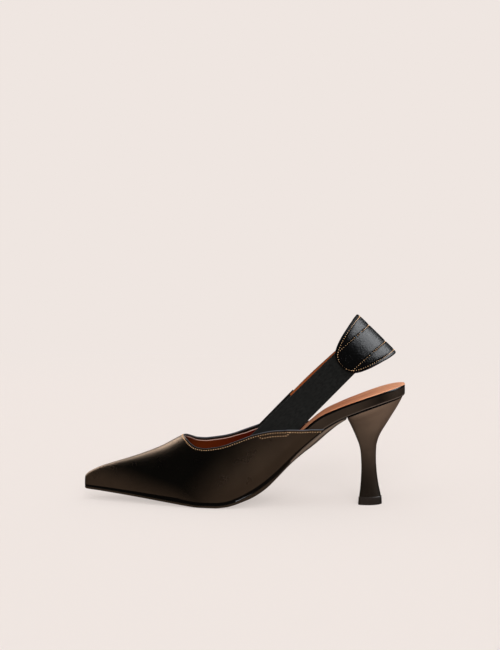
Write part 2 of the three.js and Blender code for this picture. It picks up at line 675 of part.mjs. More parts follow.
// Heel tab: half its width at a distance from its front end, and its three padded channels
const TAB_OUTLINE = [
  { at: 0, half: 0.06 },
  { at: 0.006, half: 0.14 },
  { at: 0.02, half: 0.26 },
  { at: 0.06, half: 0.43 },
  { at: 0.13, half: 0.57 },
  { at: 0.24, half: 0.7 },
  { at: 0.36, half: 0.8 },
  { at: 0.52, half: 0.89 },
  { at: 0.7, half: 0.96 },
  { at: 1, half: 1 },
];
const tabHalf = curveThrough(TAB_OUTLINE, (row) => (row.half * TAB_WIDTH) / 2);
const TAB_LENGTH = HALF_LOOP - TURN_START + TAB_FRONT; // from either end to the middle of the back
const TAB_SEAM = 0.45; // the two stitched seams, as a share of half the tab's width

function tabPuff(share, edgeShare) {
  const across = Math.abs(share);
  const middle = across < TAB_SEAM;
  const place = middle ? across / TAB_SEAM : (across - (1 + TAB_SEAM) / 2) / ((1 - TAB_SEAM) / 2);
  return TAB_PUFF * Math.sqrt(Math.max(0, 1 - place ** 2)) * (middle ? 1 : 0.7) * smooth(edgeShare * 5);
}

function makeHeelTab() {
  const steps = 22;
  const across = 12;
  const inner = ELASTIC_THICKNESS + GAP;
  const rings = Array.from({ length: 2 * steps + 1 }, (_, k) => {
    const side = k <= steps ? LATERAL : MEDIAL;
    const fromEnd = 1 - Math.cos((Math.PI * Math.min(k, 2 * steps - k)) / (2 * steps));
    const run = TURN_START - TAB_FRONT + fromEnd * TAB_LENGTH;
    const half = tabHalf(fromEnd);
    const centre = TAB_DROP * smooth(fromEnd);
    const line = (outer) =>
      Array.from({ length: across + 1 }, (_, j) => {
        const share = ((outer ? across - j : j) / across) * 2 - 1;
        const down = share * half;
        const lift = outer ? TAB_THICKNESS + tabPuff(down / (TAB_WIDTH / 2), fromEnd) : 0;
        return bandPoint(run, down + centre, side, inner + lift);
      });
    return [...line(false), ...line(true)];
  });
  return loft(rings);
}

// Colours as the leather, elastic, lining and rubber look in soft light
const blackLeather = { color: 0x1d1712, roughness: 0.42, metalness: 0 };
const tabLeather = { color: 0x151414, roughness: 0.35, metalness: 0 };
const tanLeather = { color: 0xb9714a, roughness: 0.6, metalness: 0 };
const elasticWeb = { color: 0x141413, roughness: 0.9, metalness: 0 };
const soleRubber = { color: 0x14110f, roughness: 0.55, metalness: 0 };

function piece(name, geometry, finish) {
  const mesh = new THREE.Mesh(geometry, new THREE.MeshStandardMaterial(finish));
  mesh.name = name;
  return mesh;
}

const shoe = new THREE.Group();
shoe.add(
  piece("outsole", makeOutsole(), soleRubber),
  piece("insole", makeInsole(), blackLeather),
  piece("sock_lining", makeSock(), tanLeather),
  piece("upper", makeUpper(), blackLeather),
  piece("heel", makeHeel(), blackLeather),
  piece("top_piece", makeTopPiece(), soleRubber),
  piece("elastic_lateral", makeElasticLateral(), elasticWeb),
  piece("elastic_medial", makeElasticMedial(), elasticWeb),
  piece("strap_medial", makeStrapMedial(), tabLeather),
  piece("heel_tab", makeHeelTab(), tabLeather),
);

export default shoe;
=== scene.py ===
# A woman's pointed slingback pump, left shoe: the looks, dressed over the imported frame.
# Sizes are in millimetres, as a last maker writes them; each mesh is made in metres.
# The toe points to -X, the outer (lateral) side to -Y, and the ball of the foot treads at the origin.
import math

import bpy
import bmesh
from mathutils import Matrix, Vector
from mathutils.kdtree import KDTree


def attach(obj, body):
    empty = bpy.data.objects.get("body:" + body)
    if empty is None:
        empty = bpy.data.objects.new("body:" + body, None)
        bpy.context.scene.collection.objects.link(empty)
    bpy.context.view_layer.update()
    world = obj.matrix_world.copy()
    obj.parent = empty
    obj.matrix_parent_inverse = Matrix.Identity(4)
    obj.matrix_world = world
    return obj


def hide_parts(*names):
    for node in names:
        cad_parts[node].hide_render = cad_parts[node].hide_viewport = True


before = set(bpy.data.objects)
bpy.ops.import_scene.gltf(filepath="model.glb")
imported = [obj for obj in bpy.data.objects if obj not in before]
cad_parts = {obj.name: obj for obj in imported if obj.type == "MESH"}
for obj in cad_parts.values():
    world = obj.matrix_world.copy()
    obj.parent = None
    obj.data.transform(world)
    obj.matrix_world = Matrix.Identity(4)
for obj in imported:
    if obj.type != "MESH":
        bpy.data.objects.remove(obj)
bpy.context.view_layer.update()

# Outsole.
# A thin sheet of resin rubber with a black painted edge, cut to the last's outline and cemented
# under the upper. It is flat where the ball treads, rounded under the waist, and ends at the heel.
MM = 0.001
LATERAL, MEDIAL = -1, 1
SIDES = (LATERAL, MEDIAL)
SHOE_LENGTH = 243
TREAD_AT = 0.403
BALL_WIDTH = 72
WAIST_WIDTH = 43
SEAT_WIDTH = 53
TOE_WIDTH = 10
TOE_SPRING = 8
HEEL_RISE = 80
GAP = 0.3
OUTSOLE_EDGE = 2.4
TREAD_CROWN = 0.5
WAIST_CROWN = 3
SOLE_WELT = 1.8
HEEL_SEAT_LENGTH = 42
BREAST_AT = 1 - HEEL_SEAT_LENGTH / SHOE_LENGTH
SEAT_ROUND_AT = 0.9
SEAT_SQUARENESS = 2.3
TOE_CORNER = 2.5


def lerp(a, b, t):
    return a + (b - a) * t


def clamp(v, low=0.0, high=1.0):
    return min(high, max(low, v))


def smooth(v):
    return clamp(v) ** 2 * (3 - 2 * clamp(v))


def halved(low, high, times, too_low):
    """Narrows a range round the place where too_low stops being true."""
    for _ in range(times):
        middle = (low + high) / 2
        low, high = (middle, high) if too_low(middle) else (low, middle)
    return low, high


def x_at(at):
    return (at - TREAD_AT) * SHOE_LENGTH


def at_x(x):
    return x / SHOE_LENGTH + TREAD_AT


def curve_through(rows, scale=1, column=1):
    """A smooth curve through one column of rows that start with their place. It never overshoots."""
    xs = [row[0] for row in rows]
    ys = [row[column] * scale for row in rows]
    steps = [(ys[i + 1] - ys[i]) / (xs[i + 1] - xs[i]) for i in range(len(xs) - 1)]
    slopes = [steps[0]]
    for before, after in zip(steps, steps[1:]):
        slopes.append(2 * before * after / (before + after) if before * after > 0 else 0)
    slopes.append(steps[-1])

    def value(at):
        place = clamp(at, xs[0], xs[-1])
        i = 0
        while i < len(xs) - 2 and place > xs[i + 1]:
            i += 1
        width = xs[i + 1] - xs[i]
        t = (place - xs[i]) / width
        from_low = (1 + 2 * t) * (1 - t) ** 2 * ys[i]
        from_high = t**2 * (3 - 2 * t) * ys[i + 1]
        bend = t * (1 - t) ** 2 * slopes[i] - t**2 * (1 - t) * slopes[i + 1]
        return from_low + from_high + width * bend

    return value


# Outline of the insole: place from the toe, lateral and medial half, as shares of a width
OUTLINE = [
    (0, 0.36, 0.64, TOE_WIDTH), (0.04, 0.1, 0.115, BALL_WIDTH), (0.1, 0.182, 0.183, BALL_WIDTH),
    (0.18, 0.285, 0.272, BALL_WIDTH), (0.26, 0.385, 0.362, BALL_WIDTH), (0.33, 0.458, 0.432, BALL_WIDTH),
    (0.385, 0.497, 0.465, BALL_WIDTH), (0.43, 0.51, 0.462, BALL_WIDTH), (0.48, 0.498, 0.425, BALL_WIDTH),
    (0.54, 0.452, 0.36, BALL_WIDTH), (0.61, 0.67, 0.515, WAIST_WIDTH), (0.68, 0.6, 0.465, WAIST_WIDTH),
    (0.75, 0.565, 0.48, WAIST_WIDTH), (0.82, 0.478, 0.44, SEAT_WIDTH), (0.88, 0.5, 0.49, SEAT_WIDTH),
    (0.91, 0.5, 0.5, SEAT_WIDTH),
]
outline_half = {
    LATERAL: curve_through([(at, lateral * of) for at, lateral, _, of in OUTLINE]),
    MEDIAL: curve_through([(at, medial * of) for at, _, medial, of in OUTLINE]),
}


def insole_half(at, side):
    back = clamp((at - SEAT_ROUND_AT) / (1 - SEAT_ROUND_AT))
    closing = (1 - back**SEAT_SQUARENESS) ** (1 / SEAT_SQUARENESS)
    from_tip = clamp(x_at(at) - x_at(0), 0, TOE_CORNER)
    corner = TOE_CORNER - math.sqrt(TOE_CORNER**2 - (TOE_CORNER - from_tip) ** 2)
    return outline_half[side](at) * closing - corner


# Rise of the feather line above the tread, as shares of toe spring and heel rise
TOE_RISE = [(0, 1), (0.1, 0.79), (0.2, 0.53), (0.3, 0.22), (0.36, 0.03), (0.375, 0)]
BACK_RISE = [
    (0.43, 0), (0.46, 0.011), (0.49, 0.04), (0.52, 0.084), (0.55, 0.138), (0.58, 0.205),
    (0.61, 0.286), (0.64, 0.377), (0.67, 0.469), (0.7, 0.555), (0.73, 0.634), (0.76, 0.702),
    (0.8, 0.776), (0.85, 0.846), (0.9, 0.906), (0.95, 0.958), (1, 1),
]
feather_rise = curve_through(
    [(at, rise * TOE_SPRING) for at, rise in TOE_RISE] + [(at, rise * HEEL_RISE) for at, rise in BACK_RISE]
)
FLOOR_TO_FEATHER = OUTSOLE_EDGE + TREAD_CROWN + GAP


def feather_z(at):
    return FLOOR_TO_FEATHER + feather_rise(at)


tread_crown = [(0, TREAD_CROWN), (0.45, TREAD_CROWN)]
waist_crown = [(0.6, 0.5), (0.7, 0.9), (0.74, 1), (0.8, 0.75), (0.88, 0.2)]
sole_crown = curve_through(tread_crown + [(at, share * WAIST_CROWN) for at, share in waist_crown])
# The outsole's edge is thicker where the waist starts to rise, and again before the heel
edge_rows = [(0.45, 1), (0.5, 1.3), (0.545, 1.9), (0.58, 2.1), (0.617, 1.65), (0.65, 1.4)]
edge_rows += [(0.69, 1.6), (0.72, 1.85), (0.76, 1.35), (0.8, 0.75), (0.826, 0.5)]
sole_edge = curve_through(edge_rows, OUTSOLE_EDGE)
sole_welt = curve_through([(0, 1), (0.45, 1), (0.58, 0.3), (0.7, -0.6)], SOLE_WELT)


def stations(start, end, count):
    """Places between two ends, closer together near both."""
    return [lerp(start, end, (1 - math.cos(math.pi * i / (count - 1))) / 2) for i in range(count)]


def edge_point(at, side, half, inset):
    """A point of a plate's outline, moved inwards from the edge."""
    step = 1e-4
    low, high = clamp(at - step), clamp(at + step)
    along = Vector((x_at(high) - x_at(low), half(high, side) - half(low, side))).normalized()
    return Vector((x_at(at) + along.y * inset, side * (half(at, side) - along.x * inset)))


def plate_rings(start, end, count, half, top_z, under_z, edge, across):
    """Closed sections of a plate such as a sole: its edge rows are (inset, height from under to top)."""
    rings = []
    for at in stations(start, end, count):
        ring = []

        def round_edge(side, rows):
            for inset, height in rows:
                p = edge_point(at, side, half, inset)
                place = at_x(p.x)
                ring.append(Vector((p.x, p.y, lerp(under_z(place, 1), top_z(place), height))))

        def between(a, b, height):
            for i in range(1, across):
                p = a.lerp(b, i / across)
                ring.append(Vector((p.x, p.y, height(at_x(p.x), abs(2 * i / across - 1)))))

        round_edge(LATERAL, edge)
        between(ring[-1], edge_point(at, MEDIAL, half, edge[-1][0]).to_3d(), lambda place, share: top_z(place))
        round_edge(MEDIAL, edge[::-1])
        between(ring[-1], ring[0], under_z)
        rings.append(ring)
    return rings


def placed(name, data):
    """A new object in the scene."""
    piece = bpy.data.objects.new(name, data)
    bpy.context.scene.collection.objects.link(piece)
    return piece


def mesh_piece(name, vertices, faces, materials, sharp, slots, uvs=None):
    """A mesh object with its place in its mesh, smooth but for its sharp edges."""
    mesh = bpy.data.meshes.new(name)
    mesh.from_pydata([p * MM for p in vertices], [], faces)
    if uvs:
        layer = mesh.uv_layers.new(name="UVMap")
        for loop, uv in zip(layer.data, uvs):
            loop.uv = uv
    for material in materials:
        mesh.materials.append(material)
    mesh.polygons.foreach_set("material_index", slots)
    bm = bmesh.new()
    bm.from_mesh(mesh)
    bmesh.ops.remove_doubles(bm, verts=bm.verts, dist=0.002 * MM)
    if bm.calc_volume(signed=True) < 0:
        bmesh.ops.reverse_faces(bm, faces=bm.faces)
    bm.to_mesh(mesh)
    bm.free()
    mesh.polygons.foreach_set("use_smooth", [True] * len(mesh.polygons))
    mesh.set_sharp_from_angle(angle=math.radians(sharp))
    return placed(name, mesh)


def loft(name, rings, materials, sharp=35, pick=lambda k, i: 0):
    """Joins closed rings into one closed body. Its UV map runs in metres, along it and around it."""
    count, last = len(rings[0]), len(rings) - 1
    vertices = [p for ring in rings for p in ring]
    faces, uvs, slots = [], [], []
    along, around = [0.0], [0.0]
    for before, ring in zip(rings, rings[1:]):
        along.append(along[-1] + sum((q - p).length for p, q in zip(before, ring)) / count)
    middle = rings[len(rings) // 2]
    for i in range(count):
        around.append(around[-1] + (middle[(i + 1) % count] - middle[i]).length)
    for k in range(last):
        for i in range(count):
            j = (i + 1) % count
            faces.append((k * count + i, k * count + j, (k + 1) * count + j, (k + 1) * count + i))
            corners = ((k, i), (k, i + 1), (k + 1, i + 1), (k + 1, i))
            uvs += [(along[a] * MM, around[b] * MM) for a, b in corners]
            slots.append(pick(k, i))
    for k in (0, last):
        centre = len(vertices)
        vertices.append(sum(rings[k], Vector()) / count)
        for i in range(count):
            a, b = k * count + i, k * count + (i + 1) % count
            faces.append((a, b, centre) if k else (b, a, centre))
            uvs += [(along[k] * MM, around[i] * MM)] * 3
            slots.append(pick(k, i))
    return mesh_piece(name, vertices, faces, materials, sharp, slots, uvs)


def give(socket, value):
    """Joins a source to an input, or sets the input's own value."""
    if isinstance(value, bpy.types.NodeSocket):
        socket.id_data.links.new(value, socket)
    else:
        socket.default_value = value


def feed(made, **values):
    """Gives a node its settings, and its inputs by name."""
    for key, value in values.items():
        if hasattr(made, key):
            setattr(made, key, value)
        else:
            give(made.inputs[key.replace("_", " ")], value)


def node(kind, *first, tree=None, **others):
    """A node with its settings and inputs. The first inputs may be given in order."""
    made = (tree or first[0].id_data).nodes.new(kind)
    feed(made, **others)
    for socket, value in zip(made.inputs, first):
        give(socket, value)
    return made


def new_material(name, base, roughness):
    """A material with its shader, and the place in the shoe that its patterns follow."""
    material = bpy.data.materials.new(name)
    material.use_nodes = True
    material.diffuse_color = (*base, 1)
    shader = material.node_tree.nodes["Principled BSDF"]
    feed(shader, Base_Color=(*base, 1), Roughness=roughness)
    return material, shader, node("ShaderNodeTexCoord", tree=material.node_tree).outputs["Object"]


def calc(operation, a, b):
    return node("ShaderNodeMath", a, b, operation=operation).outputs[0]


def axis_of(source, letter):
    return node("ShaderNodeSeparateXYZ", source).outputs[letter]


def stretched(place, scale):
    return node("ShaderNodeVectorMath", place, scale, operation="MULTIPLY").outputs[0]


def noise(place, scale, detail=3.0, roughness=0.5):
    made = node("ShaderNodeTexNoise", place, Scale=scale, Detail=detail, Roughness=roughness)
    return made.outputs["Fac"]


def bands(place, scale, direction, distortion=0.0, detail=2.0):
    made = node("ShaderNodeTexWave", place, Scale=scale, Distortion=distortion, Detail=detail)
    made.bands_direction = direction
    return made.outputs["Fac"]


def between_values(factor, low, high, start=0.3, end=0.7):
    made = node("ShaderNodeMapRange", factor, From_Min=start, From_Max=end, To_Min=low, To_Max=high)
    return made.outputs["Result"]


def between_colours(factor, low, high):
    """A mix of two colours, plain ones or sources."""
    made = node("ShaderNodeMix", factor, data_type="RGBA")
    for socket, colour in zip(made.inputs[6:8], (low, high)):
        give(socket, (*colour, 1) if isinstance(colour, tuple) else colour)
    return made.outputs[2]


def relief(height, distance, below=None):
    """A bump of a real height in metres, over another one."""
    made = node("ShaderNodeBump", tree=height.id_data, Distance=distance, Height=height)
    if below:
        feed(made, Normal=below)
    return made.outputs["Normal"]


def sole_material(name, dark, light, roughness):
    """Resin rubber: matt, a little dusty, with fine slanting ribs under the ball."""
    material, shader, place = new_material(name, dark, roughness)
    tone = noise(place, 60, 4)
    facing = axis_of(node("ShaderNodeNewGeometry", tree=place.id_data).outputs["Normal"], "Z")
    under = between_values(facing, 1, 0, -0.9, -0.7)
    forepart = between_values(axis_of(place, "X"), 1, 0, 0.02, 0.024)
    ribs = bands(place, 210, "DIAGONAL", 0.4, 1)
    ribbed = calc("MULTIPLY", calc("MULTIPLY", under, forepart), ribs)
    feed(
        shader,
        Specular_IOR_Level=0.3,
        Base_Color=between_colours(tone, dark, light),
        Roughness=between_values(tone, roughness - 0.06, roughness + 0.06),
        Normal=relief(ribbed, 0.0005, relief(noise(place, 900, 3), 0.00006)),
    )
    return material


def dress(piece, slot, *nodes):
    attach(piece, "root")
    if nodes:
        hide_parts(*nodes)
    return piece


FLAT_SHARE = 0.7
ROUND_FROM, ROUND_OVER = 0.45, 0.12


def outsole_half(at, side):
    return insole_half(at, side) + sole_welt(at)


def outsole_top_z(at):
    return feather_z(at) - GAP


def outsole_under_z(at, share):
    flat = 1 - smooth((share - FLAT_SHARE) / (1 - FLAT_SHARE))
    crown = lerp(flat, 1 - share**2, smooth((at - ROUND_FROM) / ROUND_OVER))
    return outsole_top_z(at) - sole_edge(at) - sole_crown(at) * crown


SOLE_EDGE = [(0.75, 0), (0.35, 0.04), (0.1, 0.14), (0, 0.32), (0, 0.66)]
SOLE_EDGE += [(0.16, 0.7), (0.16, 0.76), (0, 0.8), (0.05, 0.94), (0.25, 1)]
EDGE_GROOVE_ROW = 4
SOLE_ACROSS = 30
SOLE_STATIONS = 150
SOLE_END = BREAST_AT - 0.007
# Under the waist the brown sole comes up round the edge, and the black paint is a narrow line
WAIST_BROWN_FROM = 0.655
# Along the edge between these places, in millimetres, the upper bevel is pale grey: a painted highlight.
HIGHLIGHT_FROM, HIGHLIGHT_TO = 20, 39
# At the toe and ball the edge's lower rows are brown: a painted reflection of the floor on the rounded foot of
# the edge.
sole_materials = [
    sole_material("painted_edge", (0.0012, 0.0011, 0.001), (0.003, 0.0026, 0.0023), 0.3),
    sole_material("sole_rubber", (0.08, 0.056, 0.041), (0.13, 0.094, 0.07), 0.5),
    sole_material("edge_floor_reflection", (0.011, 0.0065, 0.0034), (0.026, 0.016, 0.009), 0.42),
    sole_material("edge_painted_highlight", (0.075, 0.077, 0.084), (0.14, 0.143, 0.152), 0.4),
]
PAINT, RUBBER, REFLECTION, HIGHLIGHT = range(4)


def sole_slot(k, i):
    at = stations(0, SOLE_END, SOLE_STATIONS)[k]
    rows = len(SOLE_EDGE)
    end_of_edge = 2 * rows + SOLE_ACROSS - 3
    row = i if i < rows else end_of_edge - i
    if i > end_of_edge or row < 1:
        return RUBBER
    if at > WAIST_BROWN_FROM:
        return RUBBER if row < EDGE_GROOVE_ROW + 2 else PAINT
    # Below the groove at the toe and ball: painted reflection of the floor.
    if row < EDGE_GROOVE_ROW:
        return REFLECTION
    # Between those places the upper bevel takes the painted highlight.
    return HIGHLIGHT if HIGHLIGHT_FROM < x_at(at) < HIGHLIGHT_TO and EDGE_GROOVE_ROW + 2 < row < rows - 1 else PAINT


sole_shape = (outsole_half, outsole_top_z, outsole_under_z, SOLE_EDGE, SOLE_ACROSS)
sole_rings = plate_rings(0, SOLE_END, SOLE_STATIONS, *sole_shape)
dress(loft("outsole", sole_rings, sole_materials, pick=sole_slot), "outsole", "outsole")

# Insole.
# A moulded board with a steel waist and a thin pad, its edge wrapped in the upper's leather.
# The wrapped edge stands bare from the wings to the back, as a band above the heel.
RAND_HEIGHT = 7.4
insole_rows = [(0, 0.35), (0.3, 0.35), (0.45, 0.5), (0.6, 1.1), (0.7, 1.5), (0.74, 1.45)]
insole_height = curve_through(insole_rows + [(0.8, 1.18), (0.88, 1.05), (1, 1)], RAND_HEIGHT)
INSOLE_FROM = 0.016
SEAT_END = 0.99995
# The wrapped edge ends above in a round bead, against which the sock is laid
RAND_EDGE = [(0.9, 0), (0.35, 0.015), (0.08, 0.06), (0, 0.14), (0, 0.5), (0.05, 0.8), (0.05, 0.9)]
RAND_EDGE += [(0.12, 0.98), (0.32, 1.06), (0.65, 1.1), (1.0, 1.1), (1.35, 1.06), (1.6, 1.0), (1.9, 0.98)]


def insole_top_z(at):
    return feather_z(at) + insole_height(at)


def painted_light_places(place, ramps):
    """Where painted light shows on the leather: ramps of (x, z, from, to) in millimetres, a little uneven."""
    found = None
    for x, z, start, end in ramps:
        along = node("ShaderNodeVectorMath", place, (x, 0, z), operation="DOT_PRODUCT").outputs["Value"]
        ramp = node("ShaderNodeMapRange", along, From_Min=start * MM, From_Max=end * MM)
        ramp.interpolation_type = "SMOOTHSTEP"
        found = calc("MAXIMUM", found, ramp.outputs["Result"]) if found else ramp.outputs["Result"]
    return calc("MULTIPLY", found, between_values(noise(place, 45, 4, 0.6), 0.6, 1, 0.2, 0.8))


def pores(place, scale, smoothness):
    made = node("ShaderNodeTexVoronoi", place, feature="SMOOTH_F1", Scale=scale, Smoothness=smoothness)
    return made.outputs["Distance"]


WARM, COOL = (1, 0.76, 0.58), (0.9, 0.95, 1)


def leather_material(name, dark, brown, rough, lit_ramps, tint=WARM, shine=0.4, coat=0, grain=4e-5, waves=3e-4):
    """Brown calf leather, dyed black by hand: fine pores, and in places a brown or pale tone painted in as
    reflected light.
    """
    material, shader, place = new_material(name, dark, rough[1])
    dyed = [tuple(share * c for c in dark) for share in (0.6, 1.5)]
    dye = between_colours(noise(place, 34, 4, 0.6), *dyed)
    uneven = relief(noise(place, 38, 2), waves)
    creased = relief(noise(place, 260, 4, 0.6), grain * 1.6, uneven)
    feed(
        shader,
        Specular_IOR_Level=shine,
        Specular_Tint=(*tint, 1),
        Coat_Weight=coat,
        Coat_Roughness=0.25,
        Base_Color=between_colours(painted_light_places(place, lit_ramps), dye, brown),
        Roughness=between_values(noise(place, 90, 3), *rough, 0.15, 0.85),
        Normal=relief(pores(place, 1500, 0.6), grain, creased),
    )
    return material


# The rand's brown towards the front and at its back edge is painted reflected light.
rand_light_ramps = [(1, 0, 138, 104), (1, 0, 122, 143)]
fold_highlight_ramps = [(1, 0, 95, 55), (1, 0, 105, 150)]
shade_paint_ramps = [(1, 0, 90, 140)]
PAINT_DARK = (0.0008, 0.0008, 0.0008)
rand_leather = leather_material(
    "rand_leather", (0.0015, 0.0011, 0.0009), (0.025, 0.017, 0.012), (0.34, 0.44), rand_light_ramps, shine=0.5
)
# The fold at the rand's foot is pale: a painted highlight.
rand_fold_highlight = leather_material(
    "rand_fold_highlight", (0.05, 0.038, 0.03), (0.12, 0.088, 0.07), (0.4, 0.5), fold_highlight_ramps, shine=0.5
)
# Black edge paint: painted shade in the creases under the sock and over the heel.
rand_shade_paint = leather_material(
    "rand_shade_paint", PAINT_DARK, (0.002, 0.002, 0.0022), (0.2, 0.3), shade_paint_ramps, tint=COOL, shine=0.6
)
RAND_ACROSS = 8
RAND_FOLD_ROW = 2
RAND_SHADE_ROW = 6


def rand_slot(k, i):
    """The pale fold at the foot is a painted highlight, with painted shade in the crease below it; the top edge
    is painted black, painted shade in the crease under the sock.
    """
    last = 2 * len(RAND_EDGE) + RAND_ACROSS - 2
    row = min(i, last - 1 - i)
    return 1 if row == RAND_FOLD_ROW else 2 if row >= RAND_SHADE_ROW or 0 <= row < RAND_FOLD_ROW else 0


insole_shape = (insole_half, insole_top_z, lambda at, share: feather_z(at), RAND_EDGE, RAND_ACROSS)
insole_rings = plate_rings(INSOLE_FROM, SEAT_END, 150, *insole_shape)
insole = loft("insole", insole_rings, [rand_leather, rand_fold_highlight, rand_shade_paint], pick=rand_slot)
dress(insole, "insole_cover", "insole")

# Sock.
# Thin tan leather cemented over the whole insole, with a narrow black edge left round it.
SOCK_THICKNESS = 1
SOCK_GAP = 0.1
SOCK_MARGIN = 1.8
SOCK_FROM = INSOLE_FROM + 0.012
SOCK_EDGE = [(0, 0), (0, 0.4), (0.12, 0.75), (0.4, 0.96), (0.8, 1)]


def tan_material(name, deep, light):
    """Smooth tan leather, streaked lengthwise, and slightly dulled by wear. It is paler to the back: a painted
    sheen.
    """
    material, shader, place = new_material(name, deep, 0.6)
    lengthwise = stretched(place, (0.3, 1.6, 0.3))
    streaks = between_values(noise(lengthwise, 90, 5, 0.65), 0, 0.75)
    sheen_to_back = between_values(axis_of(place, "X"), 0, 1, 0.1, 0.155)
    soft = relief(noise(place, 45, 3), 0.0004)
    feed(
        shader,
        Specular_IOR_Level=0.15,
        Specular_Tint=(1, 0.7, 0.5, 1),
        Base_Color=between_colours(calc("ADD", streaks, sheen_to_back), deep, light),
        Roughness=between_values(noise(place, 70, 3), 0.55, 0.68),
        Normal=relief(pores(place, 1100, 0.7), 0.00006, soft),
    )
    return material


def sock_half(at, side):
    return insole_half(at, side) - SOCK_MARGIN


def sock_top_z(at):
    return insole_top_z(at) + SOCK_GAP + SOCK_THICKNESS


def sock_under_z(at, share):
    return insole_top_z(at) + SOCK_GAP


tan_leather = tan_material("sock_leather", (0.45, 0.15, 0.065), (0.72, 0.34, 0.19))
sock_rings = plate_rings(SOCK_FROM, SEAT_END, 140, sock_half, sock_top_z, sock_under_z, SOCK_EDGE, 16)
dress(loft("sock_lining", sock_rings, [tan_leather]), "sock_leather", "sock_lining")

# Upper.
# One piece of black-brown calf, lasted over the toe and drawn into two wings that end at the
# waist. Its topline is folded over, lined with red-brown leather, and stitched in tan thread.
UPPER_WALL = 1.8
THROAT_RISE = 45.5
THROAT_BLEND = 12
BELLY = 2.2
BELLY_HEIGHT = 11
RIDGE_TO_MEDIAL = 0.35
OUTER_LEATHER = 1.3
LINING_LEATHER = 0.8
FOLD = 0.65
TIP_BULGE = 0.45

# Place, ridge height, lateral belly, medial belly, peak of the section
SHELL = [
    (0, 0.15, 0.1, 0.1, 0.75), (0.006, 0.187, 0.15, 0.15, 0.8), (0.016, 0.226, 0.2, 0.2, 0.85),
    (0.047, 0.318, 0.35, 0.35, 0.95), (0.086, 0.402, 0.5, 0.5, 1.02), (0.16, 0.56, 0.7, 0.7, 1.08),
    (0.235, 0.753, 0.9, 0.9, 1.08), (0.309, 1, 1, 1, 1.04), (0.4, 1.24, 1, 0.9, 1), (0.52, 1.4, 0.9, 1, 1),
    (0.62, 1.35, 0.6, 1.6, 1), (0.7, 1.25, 0.3, 1, 1), (0.78, 1.1, 0, 0, 1),
]
ridge_rise = curve_through(SHELL, THROAT_RISE)
belly_of = {LATERAL: curve_through(SHELL, BELLY, 2), MEDIAL: curve_through(SHELL, BELLY, 3)}
ridge_peak = curve_through(SHELL, column=4)
# Place, lateral height and medial height of the topline above the feather line
TOPLINE = [
    (0.3135, 1.01, 1.01), (0.328, 0.985, 0.965), (0.343, 0.945, 0.935), (0.365, 0.911, 0.93),
    (0.39, 0.904, 0.94), (0.415, 0.92, 0.957), (0.445, 0.946, 0.983), (0.485, 0.968, 1.005),
    (0.53, 0.942, 0.979), (0.56, 0.885, 0.917), (0.595, 0.775, 0.795), (0.643, 0.545, 0.55),
    (0.69, 0.3, 0.3), (0.73, 0.12, 0.12), (0.757, 0.01, 0.01),
]
topline_rise = {LATERAL: curve_through(TOPLINE, THROAT_RISE), MEDIAL: curve_through(TOPLINE, THROAT_RISE, 2)}
THROAT_AT = TOPLINE[0][0]
WING_END_AT = TOPLINE[-1][0]


def topline_z(at, side):
    return feather_z(at) + topline_rise[side](at)


def section(at):
    """The shell's section at one place: a function of side and angle, from feather to ridge."""
    ridge, peak, foot_z, x = ridge_rise(at), ridge_peak(at), feather_z(at), x_at(at)
    skew = (insole_half(at, MEDIAL) - insole_half(at, LATERAL)) * RIDGE_TO_MEDIAL
    feather = {side: insole_half(at, side) + GAP + UPPER_WALL for side in SIDES}
    belly = {side: belly_of[side](at) for side in SIDES}

    def point(side, angle):
        height = min(1.0, math.sin(angle))
        lean = math.sqrt(1 - height**2) ** peak
        tucked = belly[side] * (1 - smooth(height * ridge / BELLY_HEIGHT)) * lean
        half = (feather[side] + belly[side] - side * skew) * lean - tucked + side * skew
        return Vector((x, side * half, foot_z + height * ridge))

    return point


def topline_angle(at, side, lower):
    """Where the section ends, with the topline lowered by so much along the leather."""
    throat = THROAT_AT - lower / SHOE_LENGTH
    if at <= throat:
        return math.pi / 2
    back = smooth((at - throat) * SHOE_LENGTH / THROAT_BLEND)
    rise = topline_rise[side](at + lower / SHOE_LENGTH * (1 - back)) - lower * back
    return math.asin(clamp(rise / ridge_rise(at), 0.004, 1))


def upper_grid(side, lower, ahead=80, behind=110, columns=46):
    """Rows of points on the outer face, one row for each station from the tip to the wing's end."""
    throat = THROAT_AT - lower / SHOE_LENGTH
    places = [throat * (1 - math.cos(math.pi * i / (2 * ahead))) for i in range(ahead)]
    places += [lerp(throat, WING_END_AT, (i / behind) ** 1.7) for i in range(behind + 1)]
    rows = []
    for at in places:
        point, top = section(at), topline_angle(at, side, lower)
        rows.append([point(side, top * (1 - (1 - j / columns) ** 1.6)) for j in range(columns + 1)])
    return rows, ahead


def grid_normals(rows, side, ahead):
    """Outward normals of the rows' points; along the shared ridge they lean to neither side."""
    normals = []
    last, top = len(rows) - 1, len(rows[0]) - 1
    for k, row in enumerate(rows):
        line = []
        for j in range(top + 1):
            along = rows[min(k + 1, last)][j] - rows[max(k - 1, 0)][j]
            normal = along.cross(row[min(j + 1, top)] - row[max(j - 1, 0)]) * -side
            if j == top and k <= ahead:
                normal.y = 0
            line.append(normal.normalized())
        normals.append(line)
    return normals


def rim_frames(grids, normals, ahead):
    """Along the topline, from the lateral wing's end round the throat to the medial one:
    each point with its normal and its direction into the opening."""
    places = [(LATERAL, k) for k in range(len(grids[LATERAL]) - 1, ahead - 1, -1)]
    places += [(MEDIAL, k) for k in range(ahead + 1, len(grids[MEDIAL]))]
    points = [grids[side][k][-1] for side, k in places]
    frames = {}
    for i, (side, k) in enumerate(places):
        along = (points[min(i + 1, len(points) - 1)] - points[max(i - 1, 0)]).normalized()
        normal = normals[side][k][-1]
        into = along.cross(normal).normalized()
        if into.dot(points[i] - grids[side][k][-3]) < 0:
            into.negate()
        frames[side, k] = (points[i], into)
    frames[MEDIAL, ahead] = frames[LATERAL, ahead]
    return places, frames


RIM_STEPS = 8
FOOT_LEAN = 0.15
TIP_SHARES = [1, 0.88, 0.7, 0.45, 0.2]


